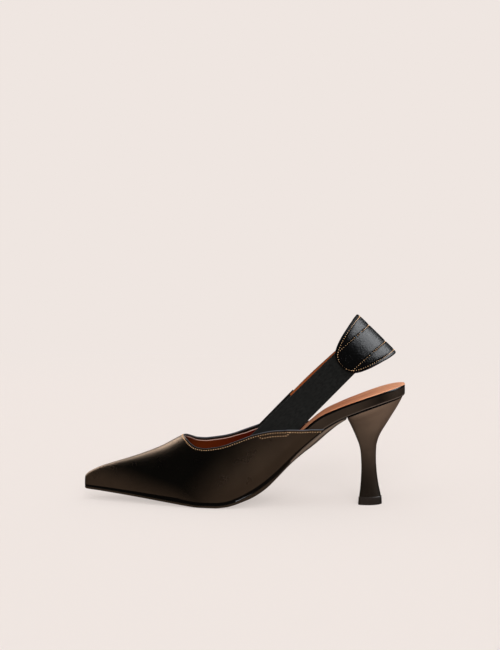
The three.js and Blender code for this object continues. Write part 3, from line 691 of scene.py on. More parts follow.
def wall(name, materials, outside, inside, lower, foot=None):
    """A closed wall of the upper between two depths, which are functions of a point. Its topline
    is rounded. Its slots are the leather, the topline's edge and the turned foot."""
    vertices, faces, slots = [], [], []

    def face(slot, flip, *corners):
        order = range(len(vertices), len(vertices) + len(corners))
        vertices.extend(corners)
        faces.append(tuple(reversed(order)) if flip else tuple(order))
        slots.append(slot)

    base, normals, walls = {}, {}, {}
    for side in SIDES:
        base[side], ahead = upper_grid(side, lower)
        normals[side] = grid_normals(base[side], side, ahead)
        walls[side] = []
        for depth, lean in ((outside, FOOT_LEAN), (inside, 0)):
            pairs = zip(base[side], normals[side])
            rows = [[p - n * depth(p) for p, n in zip(row, line)] for row, line in pairs]
            for row in rows if foot else ():
                row.insert(0, row[0] - Vector((0, side * lean, foot(at_x(row[0].x)))))
            walls[side].append(rows)
    frames = rim_frames(base, normals, ahead)[1]
    for side, (outer, inner) in walls.items():
        flip = side == MEDIAL
        last, top = len(outer) - 1, len(outer[0]) - 1
        for k in range(last):
            for j in range(top):
                # The two rows at the foot take painted shade, for the crease above the sole.
                slot = 2 if foot and j < 2 else 0
                face(slot, flip, outer[k][j], outer[k + 1][j], outer[k + 1][j + 1], outer[k][j + 1])
                face(0, flip, inner[k][j + 1], inner[k + 1][j + 1], inner[k + 1][j], inner[k][j])
            face(0, flip, inner[k][0], inner[k + 1][0], outer[k + 1][0], outer[k][0])

        def rim(k):
            o, i = outer[k][-1], inner[k][-1]
            middle, radius, away = (o + i) / 2, (o - i).length / 2, (o - i).normalized()
            turns = [math.pi * t / RIM_STEPS for t in range(RIM_STEPS + 1)]
            into = frames[side, k][1]
            return [middle + away * radius * math.cos(a) + into * radius * math.sin(a) for a in turns]

        for k in range(ahead, last):
            a, b = rim(k), rim(k + 1)
            for t in range(RIM_STEPS):
                face(1, flip, a[t], b[t], b[t + 1], a[t + 1])
        end = rim(last)
        for j in range(top):
            face(0, flip, outer[last][j + 1], outer[last][j], inner[last][j], inner[last][j + 1])
        for t in range(RIM_STEPS // 2):
            face(1, flip, end[t + 1], end[t], end[RIM_STEPS - t], end[RIM_STEPS - 1 - t])
    for which, bulge in ((0, TIP_BULGE), (1, 0)):
        ring = walls[LATERAL][which][0] + walls[MEDIAL][which][0][-2::-1]
        centre = sum(ring, Vector()) / len(ring)
        rings = [[centre.lerp(p, s) - Vector((bulge * (1 - s * s), 0, 0)) for p in ring] for s in TIP_SHARES]
        middle = centre - Vector((bulge, 0, 0))
        for a, b in zip(rings, rings[1:]):
            for i in range(len(ring)):
                j = (i + 1) % len(ring)
                face(0, which == 1, a[i], a[j], b[j], b[i])
        for i in range(len(ring)):
            face(0, which == 1, rings[-1][i], rings[-1][(i + 1) % len(ring)], middle)
    (left_outer, left_inner), (right_outer, right_inner) = walls[LATERAL], walls[MEDIAL]
    face(0, False, left_outer[0][0], right_outer[0][0], right_inner[0][0], left_inner[0][0])
    return mesh_piece(name, vertices, faces, materials, 40, slots)


def on_shell(target):
    """The point of the upper's outer face next to a target, in the target's own section."""
    point = section(clamp(at_x(target.x), 0, WING_END_AT))
    steps = 24
    found = []
    for side in SIDES:
        low, high = 0.0, math.pi / 2
        for _ in range(3):
            angles = [lerp(low, high, i / steps) for i in range(steps + 1)]
            near = min(angles, key=lambda a: (point(side, a) - target).length_squared)
            step = (high - low) / steps
            low, high = max(0, near - step), min(math.pi / 2, near + step)
        found.append(point(side, near))
    return min(found, key=lambda p: (p - target).length)


THREAD_STEP = 0.25


def spaced(points, step=THREAD_STEP):
    """A polyline's points again, evenly spaced."""
    kept, carry = [points[0].copy()], 0.0
    for a, b in zip(points, points[1:]):
        length = (b - a).length
        while length and carry + length >= step:
            a = a.lerp(b, (step - carry) / length)
            length = (b - a).length
            kept.append(a.copy())
            carry = 0.0
        carry += length
    return kept


def thread_tree():
    """Stitches laid along a curve: each a short, slightly sunk piece of thread."""
    tree = bpy.data.node_groups.new("thread_stitches", "GeometryNodeTree")
    kinds = {"Geometry": "Geometry", "Stitch Length": "Float", "Stitch Gap": "Float", "Thread Radius": "Float"}
    for label, kind in {**kinds, "Thread": "Material"}.items():
        tree.interface.new_socket(label, in_out="INPUT", socket_type="NodeSocket" + kind)
    tree.interface.new_socket("Geometry", in_out="OUTPUT", socket_type="NodeSocketGeometry")
    given = tree.nodes.new("NodeGroupInput").outputs
    length, radius = given["Stitch Length"], given["Thread Radius"]
    pitch = calc("ADD", length, given["Stitch Gap"])
    points = node("GeometryNodeCurveToPoints", given["Geometry"], mode="LENGTH", Length=pitch).outputs
    turn = node("FunctionNodeAlignRotationToVector", tree=tree, axis="X", Vector=points["Tangent"])
    stitch = node("GeometryNodeMeshUVSphere", tree=tree, Segments=8, Rings=6, Radius=1.0)
    size = node("ShaderNodeCombineXYZ", calc("MULTIPLY", length, 0.5), radius, radius)
    laid = node("GeometryNodeInstanceOnPoints", points["Points"], Instance=stitch.outputs["Mesh"])
    feed(laid, Rotation=turn.outputs["Rotation"], Scale=size.outputs["Vector"])
    real = node("GeometryNodeRealizeInstances", laid.outputs["Instances"])
    rounded = node("GeometryNodeSetShadeSmooth", real.outputs["Geometry"])
    dyed = node("GeometryNodeSetMaterial", rounded.outputs["Geometry"], Material=given["Thread"])
    node("NodeGroupOutput", dyed.outputs["Geometry"])
    return tree


def thread_material():
    """Waxed tan thread, twisted."""
    material, shader, place = new_material("tan_thread", (0.5, 0.31, 0.16), 0.55)
    tone = noise(place, 700, 2)
    twist = relief(bands(place, 900, "DIAGONAL"), 0.00008)
    feed(shader, Base_Color=between_colours(tone, (0.7, 0.38, 0.17), (1.0, 0.64, 0.36)), Normal=twist)
    return material


stitches = thread_tree()
tan_thread = thread_material()
STITCH_LENGTH = 0.55
STITCH_GAP = 1.3


def sew(name, rows, radius=0.31):
    """Sews along each row of points with the thread tree, and keeps the result as a plain mesh."""
    curve = bpy.data.curves.new(name + "_path", "CURVE")
    curve.dimensions = "3D"
    for row in rows:
        spline = curve.splines.new("POLY")
        spline.points.add(len(row) - 1)
        spline.points.foreach_set("co", [v for p in row for v in (*(p * MM), 1)])
    path = placed(name + "_path", curve)
    modifier = path.modifiers.new("stitches", "NODES")
    modifier.node_group = stitches
    lengths = {"Stitch Length": STITCH_LENGTH * MM, "Stitch Gap": STITCH_GAP * MM, "Thread Radius": radius * MM}
    values = {**lengths, "Thread": tan_thread}
    for item in stitches.interface.items_tree:
        if item.in_out == "INPUT" and item.name in values:
            modifier[item.identifier] = values[item.name]
    evaluated = path.evaluated_get(bpy.context.evaluated_depsgraph_get())
    mesh = bpy.data.meshes.new_from_object(evaluated)
    mesh.name = name
    bpy.data.objects.remove(path)
    return placed(name, mesh)


STITCH_INSET = 2.1
SECOND_ROW_INSET = 4.6
BOX_FROM, BOX_TO = 37.5, 60.8
SEAM_DEPTH = 0.16
SEAM_WIDTH = 0.55
SEAMS_ABOVE = 20


def seam_rows(places, frames):
    """The row round the topline, and on each side the box that holds the elastic."""

    def inset_row(inset):
        row = [on_shell(frames[place][0] - frames[place][1] * (inset - FOLD)) for place in places]
        return [p for p in row if at_x(p.x) < WING_END_AT - 0.004]

    topline, second = spaced(inset_row(STITCH_INSET)), inset_row(SECOND_ROW_INSET)
    rows = [topline]
    for side in SIDES:
        low = sorted((p for p in second if p.y * side > 0 and BOX_FROM + 2 < p.x < BOX_TO), key=lambda p: p.x)
        high = sorted((p for p in topline if p.y * side > 0), key=lambda p: p.x)
        start, end = (min(high, key=lambda p: abs(p.x - x)) for x in (BOX_FROM, BOX_TO))
        rows.append(spaced([start] + low + [on_shell(low[-1].lerp(end, s)) for s in (0.33, 0.66)] + [end]))
    return rows


grids, normals = {}, {}
for side in SIDES:
    grids[side], ahead = upper_grid(side, FOLD, 40, 70, 6)
    normals[side] = grid_normals(grids[side], side, ahead)
seams = seam_rows(*rim_frames(grids, normals, ahead))
tree_of_seams = KDTree(sum(len(row) for row in seams))
for index, p in enumerate(p for row in seams for p in row):
    tree_of_seams.insert(p, index)
tree_of_seams.balance()

# Soft creases where the foot bends: side, start (x, z), end (x, z), depth, width
CREASES = [
    (LATERAL, (-2, 37), (34, 43), 0.34, 3.2),
    (LATERAL, (-8, 29), (24, 34), 0.26, 3.6),
    (LATERAL, (-13, 20), (9, 9), 0.3, 3.4),
    (LATERAL, (6, 23), (31, 27), -0.22, 4.5),
    (LATERAL, (-44, 20), (-31, 27), 0.2, 3.0),
    (MEDIAL, (-4, 36), (30, 41), 0.34, 3.2),
    (MEDIAL, (-10, 27), (20, 31), 0.3, 3.8),
    (MEDIAL, (-15, 18), (8, 10), 0.28, 3.4),
]
CREASE_FADE = 0.1


def crease_depth(p):
    """The troughs, and the ridges of negative depth, fade out at both ends."""
    depth = 0.0
    for side, start, end, deep, wide in CREASES:
        a, b, q = Vector(start), Vector(end), Vector((p.x, p.z))
        share = (q - a).dot(b - a) / (b - a).length_squared
        if p.y * side > 0 and -CREASE_FADE < share < 1 + CREASE_FADE:
            away = (q - a.lerp(b, share)).length
            fade = math.sin(math.pi * clamp((share + CREASE_FADE) / (1 + 2 * CREASE_FADE))) ** 0.8
            depth += deep * fade * math.exp(-((away / wide) ** 2))
    return depth


def pressed(p):
    """How deep the thread and the creases draw the leather in at a point."""
    distance = tree_of_seams.find(p)[2] if p.z > SEAMS_ABOVE else SEAM_WIDTH * 9
    return SEAM_DEPTH * math.exp(-((distance / SEAM_WIDTH) ** 2)) + crease_depth(p)


# How far the leather is turned down over the side of the sole, below the feather line
turned_down = curve_through([(0.5, 0), (0.57, 1.2), (0.62, 1.9), (0.66, 1.5), (0.7, 0.6), (0.757, 0.2)])
# The upper's brown at the toe, low on the sides and to the rear is a painted reflection of the floor.
upper_reflection_ramps = [(-0.25, -1, -13, 7), (1, -1, -40, 18)]
upper_materials = [
    leather_material(
        "upper_leather", (0.001, 0.0009, 0.0007), (0.0235, 0.0145, 0.009), (0.25, 0.33), upper_reflection_ramps
    ),
    # The topline's folded edge is grey-blue, lighter to the rear: a painted highlight.
    leather_material(
        "fold_painted_highlight", (0.03, 0.032, 0.036), (0.07, 0.074, 0.084), (0.25, 0.35), [(1, 0, 0, 60)], COOL
    ),
    # The foot of the upper is kept black without the brown: painted shade in the crease above the sole.
    leather_material(
        "foot_painted_shade", (0.001, 0.0009, 0.0008), (0.004, 0.0025, 0.0015), (0.35, 0.45), [(1, 0, 30, 90)]
    ),
]
upper = wall(
    "upper", upper_materials, pressed, lambda p: OUTER_LEATHER, FOLD, foot=lambda at: GAP + turned_down(at)
)
dress(upper, "upper_leather", "upper")
dress(sew("topline_stitching", seams), "upper_leather")


def lining_material():
    """Red-brown lining leather, darker towards the waist with painted shade."""
    material, shader, place = new_material("lining_leather", (0.1, 0.02, 0.005), 0.7)
    back = between_values(axis_of(place, "X"), 0, 1, -0.02, 0.035)
    soft = relief(noise(place, 80, 3), 0.0003)
    feed(
        shader,
        Specular_IOR_Level=0.05,
        Base_Color=between_colours(back, (0.11, 0.02, 0.004), (0.05, 0.0025, 0.0008)),
        Normal=relief(noise(place, 1300, 2), 0.00006, soft),
    )
    return material


def raw_edge_material():
    """The lining's cut edge, pale and matt, and dark along the lateral side."""
    material, shader, place = new_material("lining_cut_edge", (0.3, 0.17, 0.13), 0.7)
    toward_lateral = between_values(axis_of(place, "Y"), 1, 0, -0.006, 0.004)
    feed(
        shader,
        Base_Color=between_colours(toward_lateral, (0.34, 0.2, 0.16), (0.02, 0.012, 0.01)),
        Normal=relief(noise(place, 1500, 2), 0.0001),
    )
    return material


LINING_BELOW_FOLD = 1.5
LINING_GAP = 0.05
TAIL_SWELL = 1.3
TAIL_FROM, TAIL_TO, TAIL_FADE = 14, 64, 10
TAIL_ABOVE, TAIL_RISE = 8, 12


def lining_depth(p):
    """The lining lies behind the leather, and stands out where the elastic's ends are between them."""
    lengthwise = smooth((p.x - TAIL_FROM) / TAIL_FADE) * (1 - smooth((p.x - TAIL_TO) / TAIL_FADE))
    above = p.z - feather_z(at_x(p.x)) - TAIL_ABOVE
    return OUTER_LEATHER + LINING_GAP + TAIL_SWELL * lengthwise * smooth(above / TAIL_RISE)


lining = wall(
    "vamp_lining",
    [lining_material(), raw_edge_material()],
    lining_depth,
    lambda p: lining_depth(p) + LINING_LEATHER,
    FOLD + LINING_BELOW_FOLD,
)
dress(lining, "upper_leather")

# Heel.
# A moulded heel covered in the upper's leather: wide under the seat, slim at its waist and
# flared again at the tip. Its breast is a shallow hollow between two edges.
TOP_PIECE_HEIGHT = 6.2
BREAST_HOLLOW = 1.2
SEAT_UNDER_BACK = FLOOR_TO_FEATHER + HEEL_RISE
BREAST_SQUARENESS = 4.5
HEEL_WIDEST = 0.42
HEEL_TUCK = 0.5
HEEL_SHADE_RINGS = 3
HEEL_GAP = 0.05
TIP_SHARE = (TOP_PIECE_HEIGHT + HEEL_GAP) / SEAT_UNDER_BACK
TIP_FRONT, TIP_BACK, TIP_HALF = 0.822, 0.418, 0.34
# From the seat down: front place and height, back place and height, half width
HEEL_RINGS = [
    (1.065, 0.91, -0.04, 1.12, 1.01), (1.03, 0.8, 0.035, 0.99, 0.975), (0.985, 0.745, 0.14, 0.885, 0.79),
    (0.93, 0.68, 0.242, 0.8, 0.64), (0.873, 0.61, 0.33, 0.727, 0.53), (0.826, 0.545, 0.412, 0.66, 0.445),
    (0.798, 0.48, 0.474, 0.59, 0.385), (0.788, 0.413, 0.505, 0.515, 0.34), (0.783, 0.34, 0.51, 0.42, 0.314),
    (0.788, 0.26, 0.498, 0.31, 0.302), (0.8, 0.17, 0.466, 0.19, 0.31),
    (TIP_FRONT, TIP_SHARE, TIP_BACK, TIP_SHARE, TIP_HALF),
]
heel_rows = [(i / (len(HEEL_RINGS) - 1), *row) for i, row in enumerate(HEEL_RINGS)]
heel_columns = [curve_through(heel_rows, column=c) for c in range(1, 6)]


def heel_point(front_x, front_z, back_x, back_z, half, angle, grow=0.0):
    front = Vector((x_at(1) - front_x * HEEL_SEAT_LENGTH - grow, front_z))
    back = Vector((x_at(1) - back_x * HEEL_SEAT_LENGTH + grow, back_z))
    cos, sin = math.cos(angle), math.sin(angle)
    power = 2 / BREAST_SQUARENESS if cos < 0 else 1
    forward = math.copysign(abs(cos) ** power, cos)
    aside = math.copysign(abs(sin) ** power, sin)
    reach = HEEL_WIDEST if forward < 0 else 1 - HEEL_WIDEST
    hollow = -forward * (1 - aside**2) * BREAST_HOLLOW / (back.x - front.x) if forward < 0 else 0
    p = front.lerp(back, HEEL_WIDEST + forward * reach + hollow)
    return Vector((p.x, aside * (half * SEAT_WIDTH / 2 + grow), p.y))


# Angles round a heel section, closer together at the breast's two edges
HEEL_COLUMNS = 96
EDGE_CROWDING = 0.22
turns = [2 * math.pi * i / HEEL_COLUMNS for i in range(HEEL_COLUMNS)]
heel_angles = [turn + EDGE_CROWDING * math.sin(2 * turn) for turn in turns]


def heel_rings(levels):
    """Rings from the seat to the tip. Each column starts where it meets the sole's underside."""
    rings = [[] for _ in range(levels + 1)]
    for angle in heel_angles:

        def at_share(share):
            fx, fz, bx, bz, half = (column(share) for column in heel_columns)
            return heel_point(fx, fz * SEAT_UNDER_BACK, bx, bz * SEAT_UNDER_BACK, half, angle)

        def in_sole(share):
            p = at_share(share)
            return p.z > feather_z(clamp(at_x(p.x))) - HEEL_GAP

        seat = halved(0.0, 0.5, 30, in_sole)[1]
        for level in range(levels + 1):
            p = at_share(lerp(seat, 1, (level / levels) ** 1.3))
            below = at_share(seat).z - p.z
            tuck = HEEL_TUCK * (1 - clamp(below / HEEL_TUCK)) ** 2
            middle = Vector((x_at(1) - 0.5 * HEEL_SEAT_LENGTH, 0, p.z))
            rings[level].append(p + (middle - p).normalized() * tuck)
    return rings


# The heel's black turns brown towards its top and back: a painted reflection of the floor, where the heel
# narrows downwards.
heel_dye_and_reflection = (0.007, 0.005, 0.0036), (0.15, 0.098, 0.067)
heel_leather = leather_material(
    "heel_leather", *heel_dye_and_reflection, (0.36, 0.46), [(0.8, 1, 104, 200)], shine=0.25, waves=0.00015
)
# The heel's top rings take the black edge paint: painted shade in the crease under the rand.
heel_materials = [heel_leather, rand_shade_paint]
heel = loft("heel", heel_rings(90), heel_materials, 50, lambda k, i: 1 if k < HEEL_SHADE_RINGS else 0)
dress(heel, "heel_cover", "heel")

# Top piece.
# The heel's own tread: a block of hard rubber, a little larger than the tip, nailed under it.
TOP_PIECE_ROWS = [(0, 0.45), (0.15, 0.7), (0.4, 0.75), (4.9, 0.5), (5.6, 0.45), (6.0, 0.25)]
TOP_PIECE_ROWS += [(TOP_PIECE_HEIGHT, -0.15)]
tip_rings = [
    [heel_point(TIP_FRONT, z, TIP_BACK, z, TIP_HALF, angle, grow) for angle in heel_angles]
    for z, grow in TOP_PIECE_ROWS
]
top_piece_rubber = sole_material("top_piece_rubber", (0.009, 0.0065, 0.005), (0.018, 0.013, 0.01), 0.42)
dress(loft("top_piece", tip_rings, [top_piece_rubber], 50), "top_piece", "top_piece")

# Elastic of the sling.
# Wide woven elastic, black. On the outer side it runs from behind the topline up to the heel tab,
# on the inner side it is a short length with a lined leather strap sewn to it.
SLING_AT = 0.62
SLING_ANGLE = math.radians(45.8)
SLING_REACH = 96
SLING_HALF = 24.5
ELASTIC_WIDTH = 21
ELASTIC_THICKNESS = 1.3
ELASTIC_TAIL = 7
ELASTIC_RISE = 1.9
MEDIAL_ELASTIC_LENGTH = 17
MEDIAL_LAP = 4
MEDIAL_UNDER, MEDIAL_TOP = 0.35, ELASTIC_THICKNESS - 0.3
MEDIAL_RIDE = 2
RIDE_FROM, RIDE_OVER = 30, 55
LEAVE_WALL = 16
TAB_FRONT = 5
TAB_LAP = 16
TURN_START = SLING_REACH - SLING_HALF
STRAP_END = TURN_START - TAB_FRONT + TAB_LAP
sling_x = x_at(SLING_AT)
sling_z = topline_z(SLING_AT, LATERAL)


def sling_point(along, down):
    """A place in the band's slanted plane: along it from the topline, and down across it."""
    x = sling_x + along * math.cos(SLING_ANGLE) + down * math.sin(SLING_ANGLE)
    return x, sling_z + along * math.sin(SLING_ANGLE) - down * math.cos(SLING_ANGLE)


def ride_of(run, side):
    """The band rides a little higher on the medial side; both are level at the back."""
    return MEDIAL_RIDE * (1 - smooth((run - RIDE_FROM) / RIDE_OVER)) if side == MEDIAL else 0.0


def wall_inside(x, z, side):
    """The leather's inner face, behind which the elastic's end is sewn."""
    point = section(clamp(at_x(x), 0, WING_END_AT))
    low = halved(0.0, math.pi / 2, 18, lambda angle: point(side, angle).z < z)[0]
    step = 1e-3
    run = point(side, min(low + step, math.pi / 2)) - point(side, max(low - step, 0))
    return point(side, low).y - side * (OUTER_LEATHER + 0.08) * run.length / max(1e-6, run.z)


def band_point(run, down, side, outwards):
    turn = clamp((run - TURN_START) / SLING_HALF, 0, math.pi / 2)
    along = TURN_START + (SLING_HALF + outwards) * math.sin(turn) if run > TURN_START else run
    loop_y = side * (SLING_HALF + outwards) * math.cos(turn)
    x, z = sling_point(along, down - ride_of(run, side))
    line_z = topline_z(at_x(x), side)
    wall_y = wall_inside(x, min(z, line_z), side) + side * (outwards - ELASTIC_THICKNESS)
    return Vector((x, lerp(wall_y, loop_y, smooth((z - line_z - 0.5) / LEAVE_WALL)), z))


def tail_start(down, side):
    along = 0.0
    for _ in range(20):
        x, z = sling_point(along, down - ride_of(along, side))
        along += topline_z(at_x(x), side) - ELASTIC_TAIL - z
    return along


def band_ring(across, face, edge):
    """One closed section of a band: its inner and its outer face, each followed by a round edge."""
    ring = []
    for outside in (False, True):
        shares = [j / across for j in range(across + 1)]
        ring += [face(share, outside) for share in (shares[::-1] if outside else shares)]
        for a in [math.pi * t / 6 for t in range(1, 6)]:
            passed = (1 - math.cos(a)) / 2
            ring.append(edge(-1 if outside else 1, math.sin(a), 1 - passed if outside else passed))
    return ring


def strap_rings(side, width, start, end, inner, outer, steps, rise=0.0):
    """A band's closed sections, with rounded edges, from one run to another.
    Its upper edge may rise at the start, and comes back to the width at the end."""
    rings = []
    half = (outer - inner) / 2
    for k in range(steps + 1):
        lift = rise * (1 - k / steps)

        def at(down, level):
            return band_point(lerp(start(down, side), end, k / steps), down, side, lerp(inner, outer, level))

        def face(share, outside):
            return at((share - 0.5) * (width - 2 * half) - lift * (1 - share), outside)

        def edge(sign, bulge, level):
            return at(sign * (width / 2 - half + half * bulge) - (lift if sign < 0 else 0), level)

        rings.append(band_ring(20, face, edge))
    return rings


def elastic_material():
    """Black elastic webbing: fine lengthwise cords, crossed by a close weft."""
    material, shader, place = new_material("elastic_web", (0.007, 0.007, 0.0065), 0.85)
    cloth = node("ShaderNodeUVMap", tree=place.id_data, uv_map="UVMap").outputs["UV"]
    cords, weft = bands(cloth, 330, "Y", 0.3, 1), bands(cloth, 520, "X", 0.6, 1)
    woven = calc("MULTIPLY", cords, weft)
    faded = noise(stretched(cloth, (1.0, 2.2, 1.0)), 330, 3, 0.7)
    threads = between_values(woven, 0.3, 1, 0, 0.8)
    mottled = calc("MULTIPLY", threads, between_values(faded, 0.15, 1.1, 0.35, 0.65))
    soft = relief(noise(place, 60, 2), 0.0003)
    feed(
        shader,
        Specular_IOR_Level=0.3,
        Sheen_Weight=0.04,
        Sheen_Roughness=0.5,
        Base_Color=between_colours(mottled, (0.001, 0.001, 0.0009), (0.016, 0.0163, 0.015)),
        Normal=relief(woven, 0.00022, soft),
    )
    return material


elastic_web = elastic_material()
lateral_rings = strap_rings(
    LATERAL, ELASTIC_WIDTH, tail_start, STRAP_END, 0, ELASTIC_THICKNESS, 110, rise=ELASTIC_RISE
)
dress(loft("elastic_lateral", lateral_rings, [elastic_web]), "elastic", "elastic_lateral")
medial_rings = strap_rings(
    MEDIAL, ELASTIC_WIDTH, tail_start, MEDIAL_ELASTIC_LENGTH + MEDIAL_LAP, MEDIAL_UNDER, MEDIAL_TOP, 60
)
dress(loft("elastic_medial", medial_rings, [elastic_web]), "elastic", "elastic_medial")

# Strap of the sling.
# Black leather lined in tan, sewn over the short elastic's end and under the heel tab.
STRAP_WIDTH = 19.5
STRAP_UNDER, STRAP_TOP = ELASTIC_THICKNESS - 0.25, ELASTIC_THICKNESS + 0.35
STRAP_LINING_WIDTH = STRAP_WIDTH - 0.4
STRAP_LINING = (-0.4, 0.3)
STRAP_SEAM_INSET = 2
THREAD_LIFT = 0.03
TAB_FINISH = dict(tint=(0.96, 0.97, 1), shine=0.45, coat=0.2, grain=0.0002, waves=0.0009)
# The tab's faint brown towards its lower end is a painted reflection of the floor.
tab_light_ramps = [(0, 1, 90, 40)]
tab_leather = leather_material(
    "tab_leather", (0.001, 0.001, 0.001), (0.004, 0.0035, 0.003), (0.22, 0.3), tab_light_ramps, **TAB_FINISH
)
# The strap's lining is the tan leather made darker: painted shade on its face into the shoe.
strap_tan_shaded = tan_material("strap_tan_shaded", (0.17, 0.04, 0.01), (0.25, 0.07, 0.021))


def strap_start(down, side):
    return MEDIAL_ELASTIC_LENGTH


strap_ends = (strap_start, STRAP_END)
strap_outer = strap_rings(MEDIAL, STRAP_WIDTH, *strap_ends, STRAP_UNDER, STRAP_TOP, 90)
dress(loft("strap_medial", strap_outer, [tab_leather]), "tab_leather", "strap_medial")
strap_inner = strap_rings(MEDIAL, STRAP_LINING_WIDTH, *strap_ends, *STRAP_LINING, 90)
dress(loft("strap_lining", strap_inner, [strap_tan_shaded]), "sock_leather")
seam_half = STRAP_WIDTH / 2 - STRAP_SEAM_INSET
seam_from = MEDIAL_ELASTIC_LENGTH + STRAP_SEAM_INSET
seam_runs = [(lerp(seam_from, STRAP_END, i / 120), seam_half) for i in range(121)]
strap_seams = [[(run, -down) for run, down in seam_runs], seam_runs]
strap_seams += [[(seam_from, lerp(-seam_half, seam_half, i / 20)) for i in range(21)]]
thread_level = STRAP_TOP + THREAD_LIFT
strap_threads = [[band_point(run, down, MEDIAL, thread_level) for run, down in row] for row in strap_seams]
dress(sew("strap_stitching", strap_threads), "tab_leather")

# Heel tab.
# A padded leather tab round the back of the foot, quilted into three channels that fan out
# backwards. Its edge is turned and stitched, and the ends of the straps are sewn inside it.
TAB_WIDTH = 39
TAB_DROP = 1.8
TAB_BASE = 1.7
TAB_PUFF = 1.3
TAB_BORDER = 1.6
TAB_EDGE_COLUMNS = 8
TAB_INNER = ELASTIC_THICKNESS + 0.08
TAB_LINING = 0.75
LINING_ON_STRAP, LINING_ON_PAD = -1.25, TAB_INNER - 0.85
BORDER_THREAD, SEAM_THREAD, SEAM_THREAD_RADIUS = 0.1, 0.28, 0.24
TAB_OUTLINE = [
    (0, 0.06), (0.006, 0.14), (0.02, 0.26), (0.06, 0.43), (0.13, 0.57),
    (0.24, 0.7), (0.36, 0.8), (0.52, 0.89), (0.7, 0.96), (1, 1),
]
tab_half = curve_through(TAB_OUTLINE, TAB_WIDTH / 2)
HALF_LOOP = TURN_START + SLING_HALF * math.pi / 2
TAB_LENGTH = HALF_LOOP - TURN_START + TAB_FRONT
upper_seam = curve_through([(0, -9.6), (1, -8.3)])
lower_seam = curve_through([(0, 7.6), (1, 8.9)])


def tab_run(from_end, trim=0.0):
    return TURN_START - TAB_FRONT + trim + from_end * (TAB_LENGTH - trim)


def tab_place(side, run, from_end, down, level):
    return band_point(run, down + TAB_DROP * smooth(from_end), side, level)


def outline_slant(from_end):
    """How much longer the tab's outline is there than its middle line."""
    step = 0.01
    slope = (tab_half(clamp(from_end + step)) - tab_half(clamp(from_end - step))) / (2 * step * TAB_LENGTH)
    return math.sqrt(1 + slope**2)


def border_distance(from_end, down):
    """How far a point of the tab lies inside its outline, about."""
    return min((tab_half(from_end) - abs(down)) / outline_slant(from_end), from_end * TAB_LENGTH + 0.3)


def pillow(distance, width):
    """The padding's rise away from a seam: steep beside it, flat beyond the width."""
    return math.sqrt(1 - (1 - clamp(distance / width)) ** 2)


def tab_lift(from_end, down):
    """The padding's height: full in the channels, nothing at the seams and the border."""
    border = border_distance(from_end, down)
    seam = min(abs(down - upper_seam(from_end)), abs(down - lower_seam(from_end)))
    back = smooth((from_end - 0.55) / 0.35)
    puff = lerp(lerp(0.3, 0.75, back), 1, pillow(seam, 3))
    puff *= lerp(pillow(border - TAB_BORDER, 4.5), 1, 0.8 * back)
    pinch = 0.35 * math.exp(-((seam / 0.45) ** 2)) * smooth((border - 1.5) / 2)
    groove = lerp(0.25, 0.12, back) * math.exp(-(((border - TAB_BORDER) / 0.5) ** 2))
    return TAB_PUFF * puff - pinch - groove


def tab_rings(inner, outer, trim=0.0, steps=110, across=56):
    """Closed sections across the tab, from its lateral end round to its medial one."""
    rings = []
    for k in range(2 * steps + 1):
        side = LATERAL if k <= steps else MEDIAL
        from_end = 1 - math.cos(math.pi * min(k, 2 * steps - k) / (2 * steps))
        run = tab_run(from_end, trim)
        half = max(0.3, tab_half(from_end) - trim)

        def face(share, outside):
            down = (share * 2 - 1) * half
            return tab_place(side, run, from_end, down, (outer if outside else inner)(from_end, down))

        def edge(sign, bulge, level):
            low, high = inner(from_end, sign * half), outer(from_end, sign * half)
            down = sign * (half + min(half, (high - low) / 2) * 0.8 * bulge)
            return tab_place(side, run, from_end, down, lerp(low, high, level))

        rings.append(band_ring(across, face, edge))
    return rings


# The turned edge above the upper stitching is waxed matt
waxed_edge = leather_material(
    "waxed_edge", PAINT_DARK, (0.002, 0.002, 0.002), (0.5, 0.6), tab_light_ramps, tint=(1, 1, 1), shine=0.15
)
heel_tab_rings = tab_rings(lambda f, d: TAB_INNER, lambda f, d: TAB_INNER + TAB_BASE + tab_lift(f, d))
edge_from = len(heel_tab_rings[0]) - TAB_EDGE_COLUMNS
tab_materials = [tab_leather, waxed_edge]
heel_tab = loft("heel_tab", heel_tab_rings, tab_materials, 50, lambda k, i: 1 if i >= edge_from else 0)
dress(heel_tab, "tab_leather", "heel_tab")


def lining_level(from_end, down):
    """The tab's lining lies on the strap's end, then close to the padding."""
    return lerp(LINING_ON_STRAP, LINING_ON_PAD, smooth((tab_run(from_end) - STRAP_END + 1) / 7))


lining_rings = tab_rings(lining_level, lambda f, d: lining_level(f, d) + TAB_LINING, 0.35, 90, 24)
dress(loft("tab_lining", lining_rings, [tan_leather], 50), "sock_leather")
TAB_WALK = [(LATERAL, i / 100) for i in range(101)] + [(MEDIAL, i / 100) for i in range(99, -1, -1)]


def tab_point(side, from_end, down, lift):
    level = TAB_INNER + TAB_BASE + tab_lift(from_end, down) + lift
    return tab_place(side, tab_run(from_end), from_end, down, level)


def border_row(edge):
    """The row inside one long edge of the tab, from end to end."""
    row = []
    for side, share in TAB_WALK:
        from_end = lerp(TAB_BORDER / TAB_LENGTH, 1, share**1.8)
        down = max(0.0, tab_half(from_end) - TAB_BORDER * outline_slant(from_end))
        row.append(tab_point(side, from_end, edge * down, BORDER_THREAD))
    return row


def seam_row(seam):
    walk = [(side, share, seam(share)) for side, share in TAB_WALK]
    inside = [place for place in walk if border_distance(*place[1:]) > TAB_BORDER]
    return spaced([tab_point(*place, SEAM_THREAD) for place in inside])


dress(sew("tab_stitching", [spaced(border_row(-1)[::-1] + border_row(1))]), "tab_leather")
quilted = [seam_row(upper_seam), seam_row(lower_seam)]
dress(sew("tab_quilting", quilted, SEAM_THREAD_RADIUS), "tab_leather")

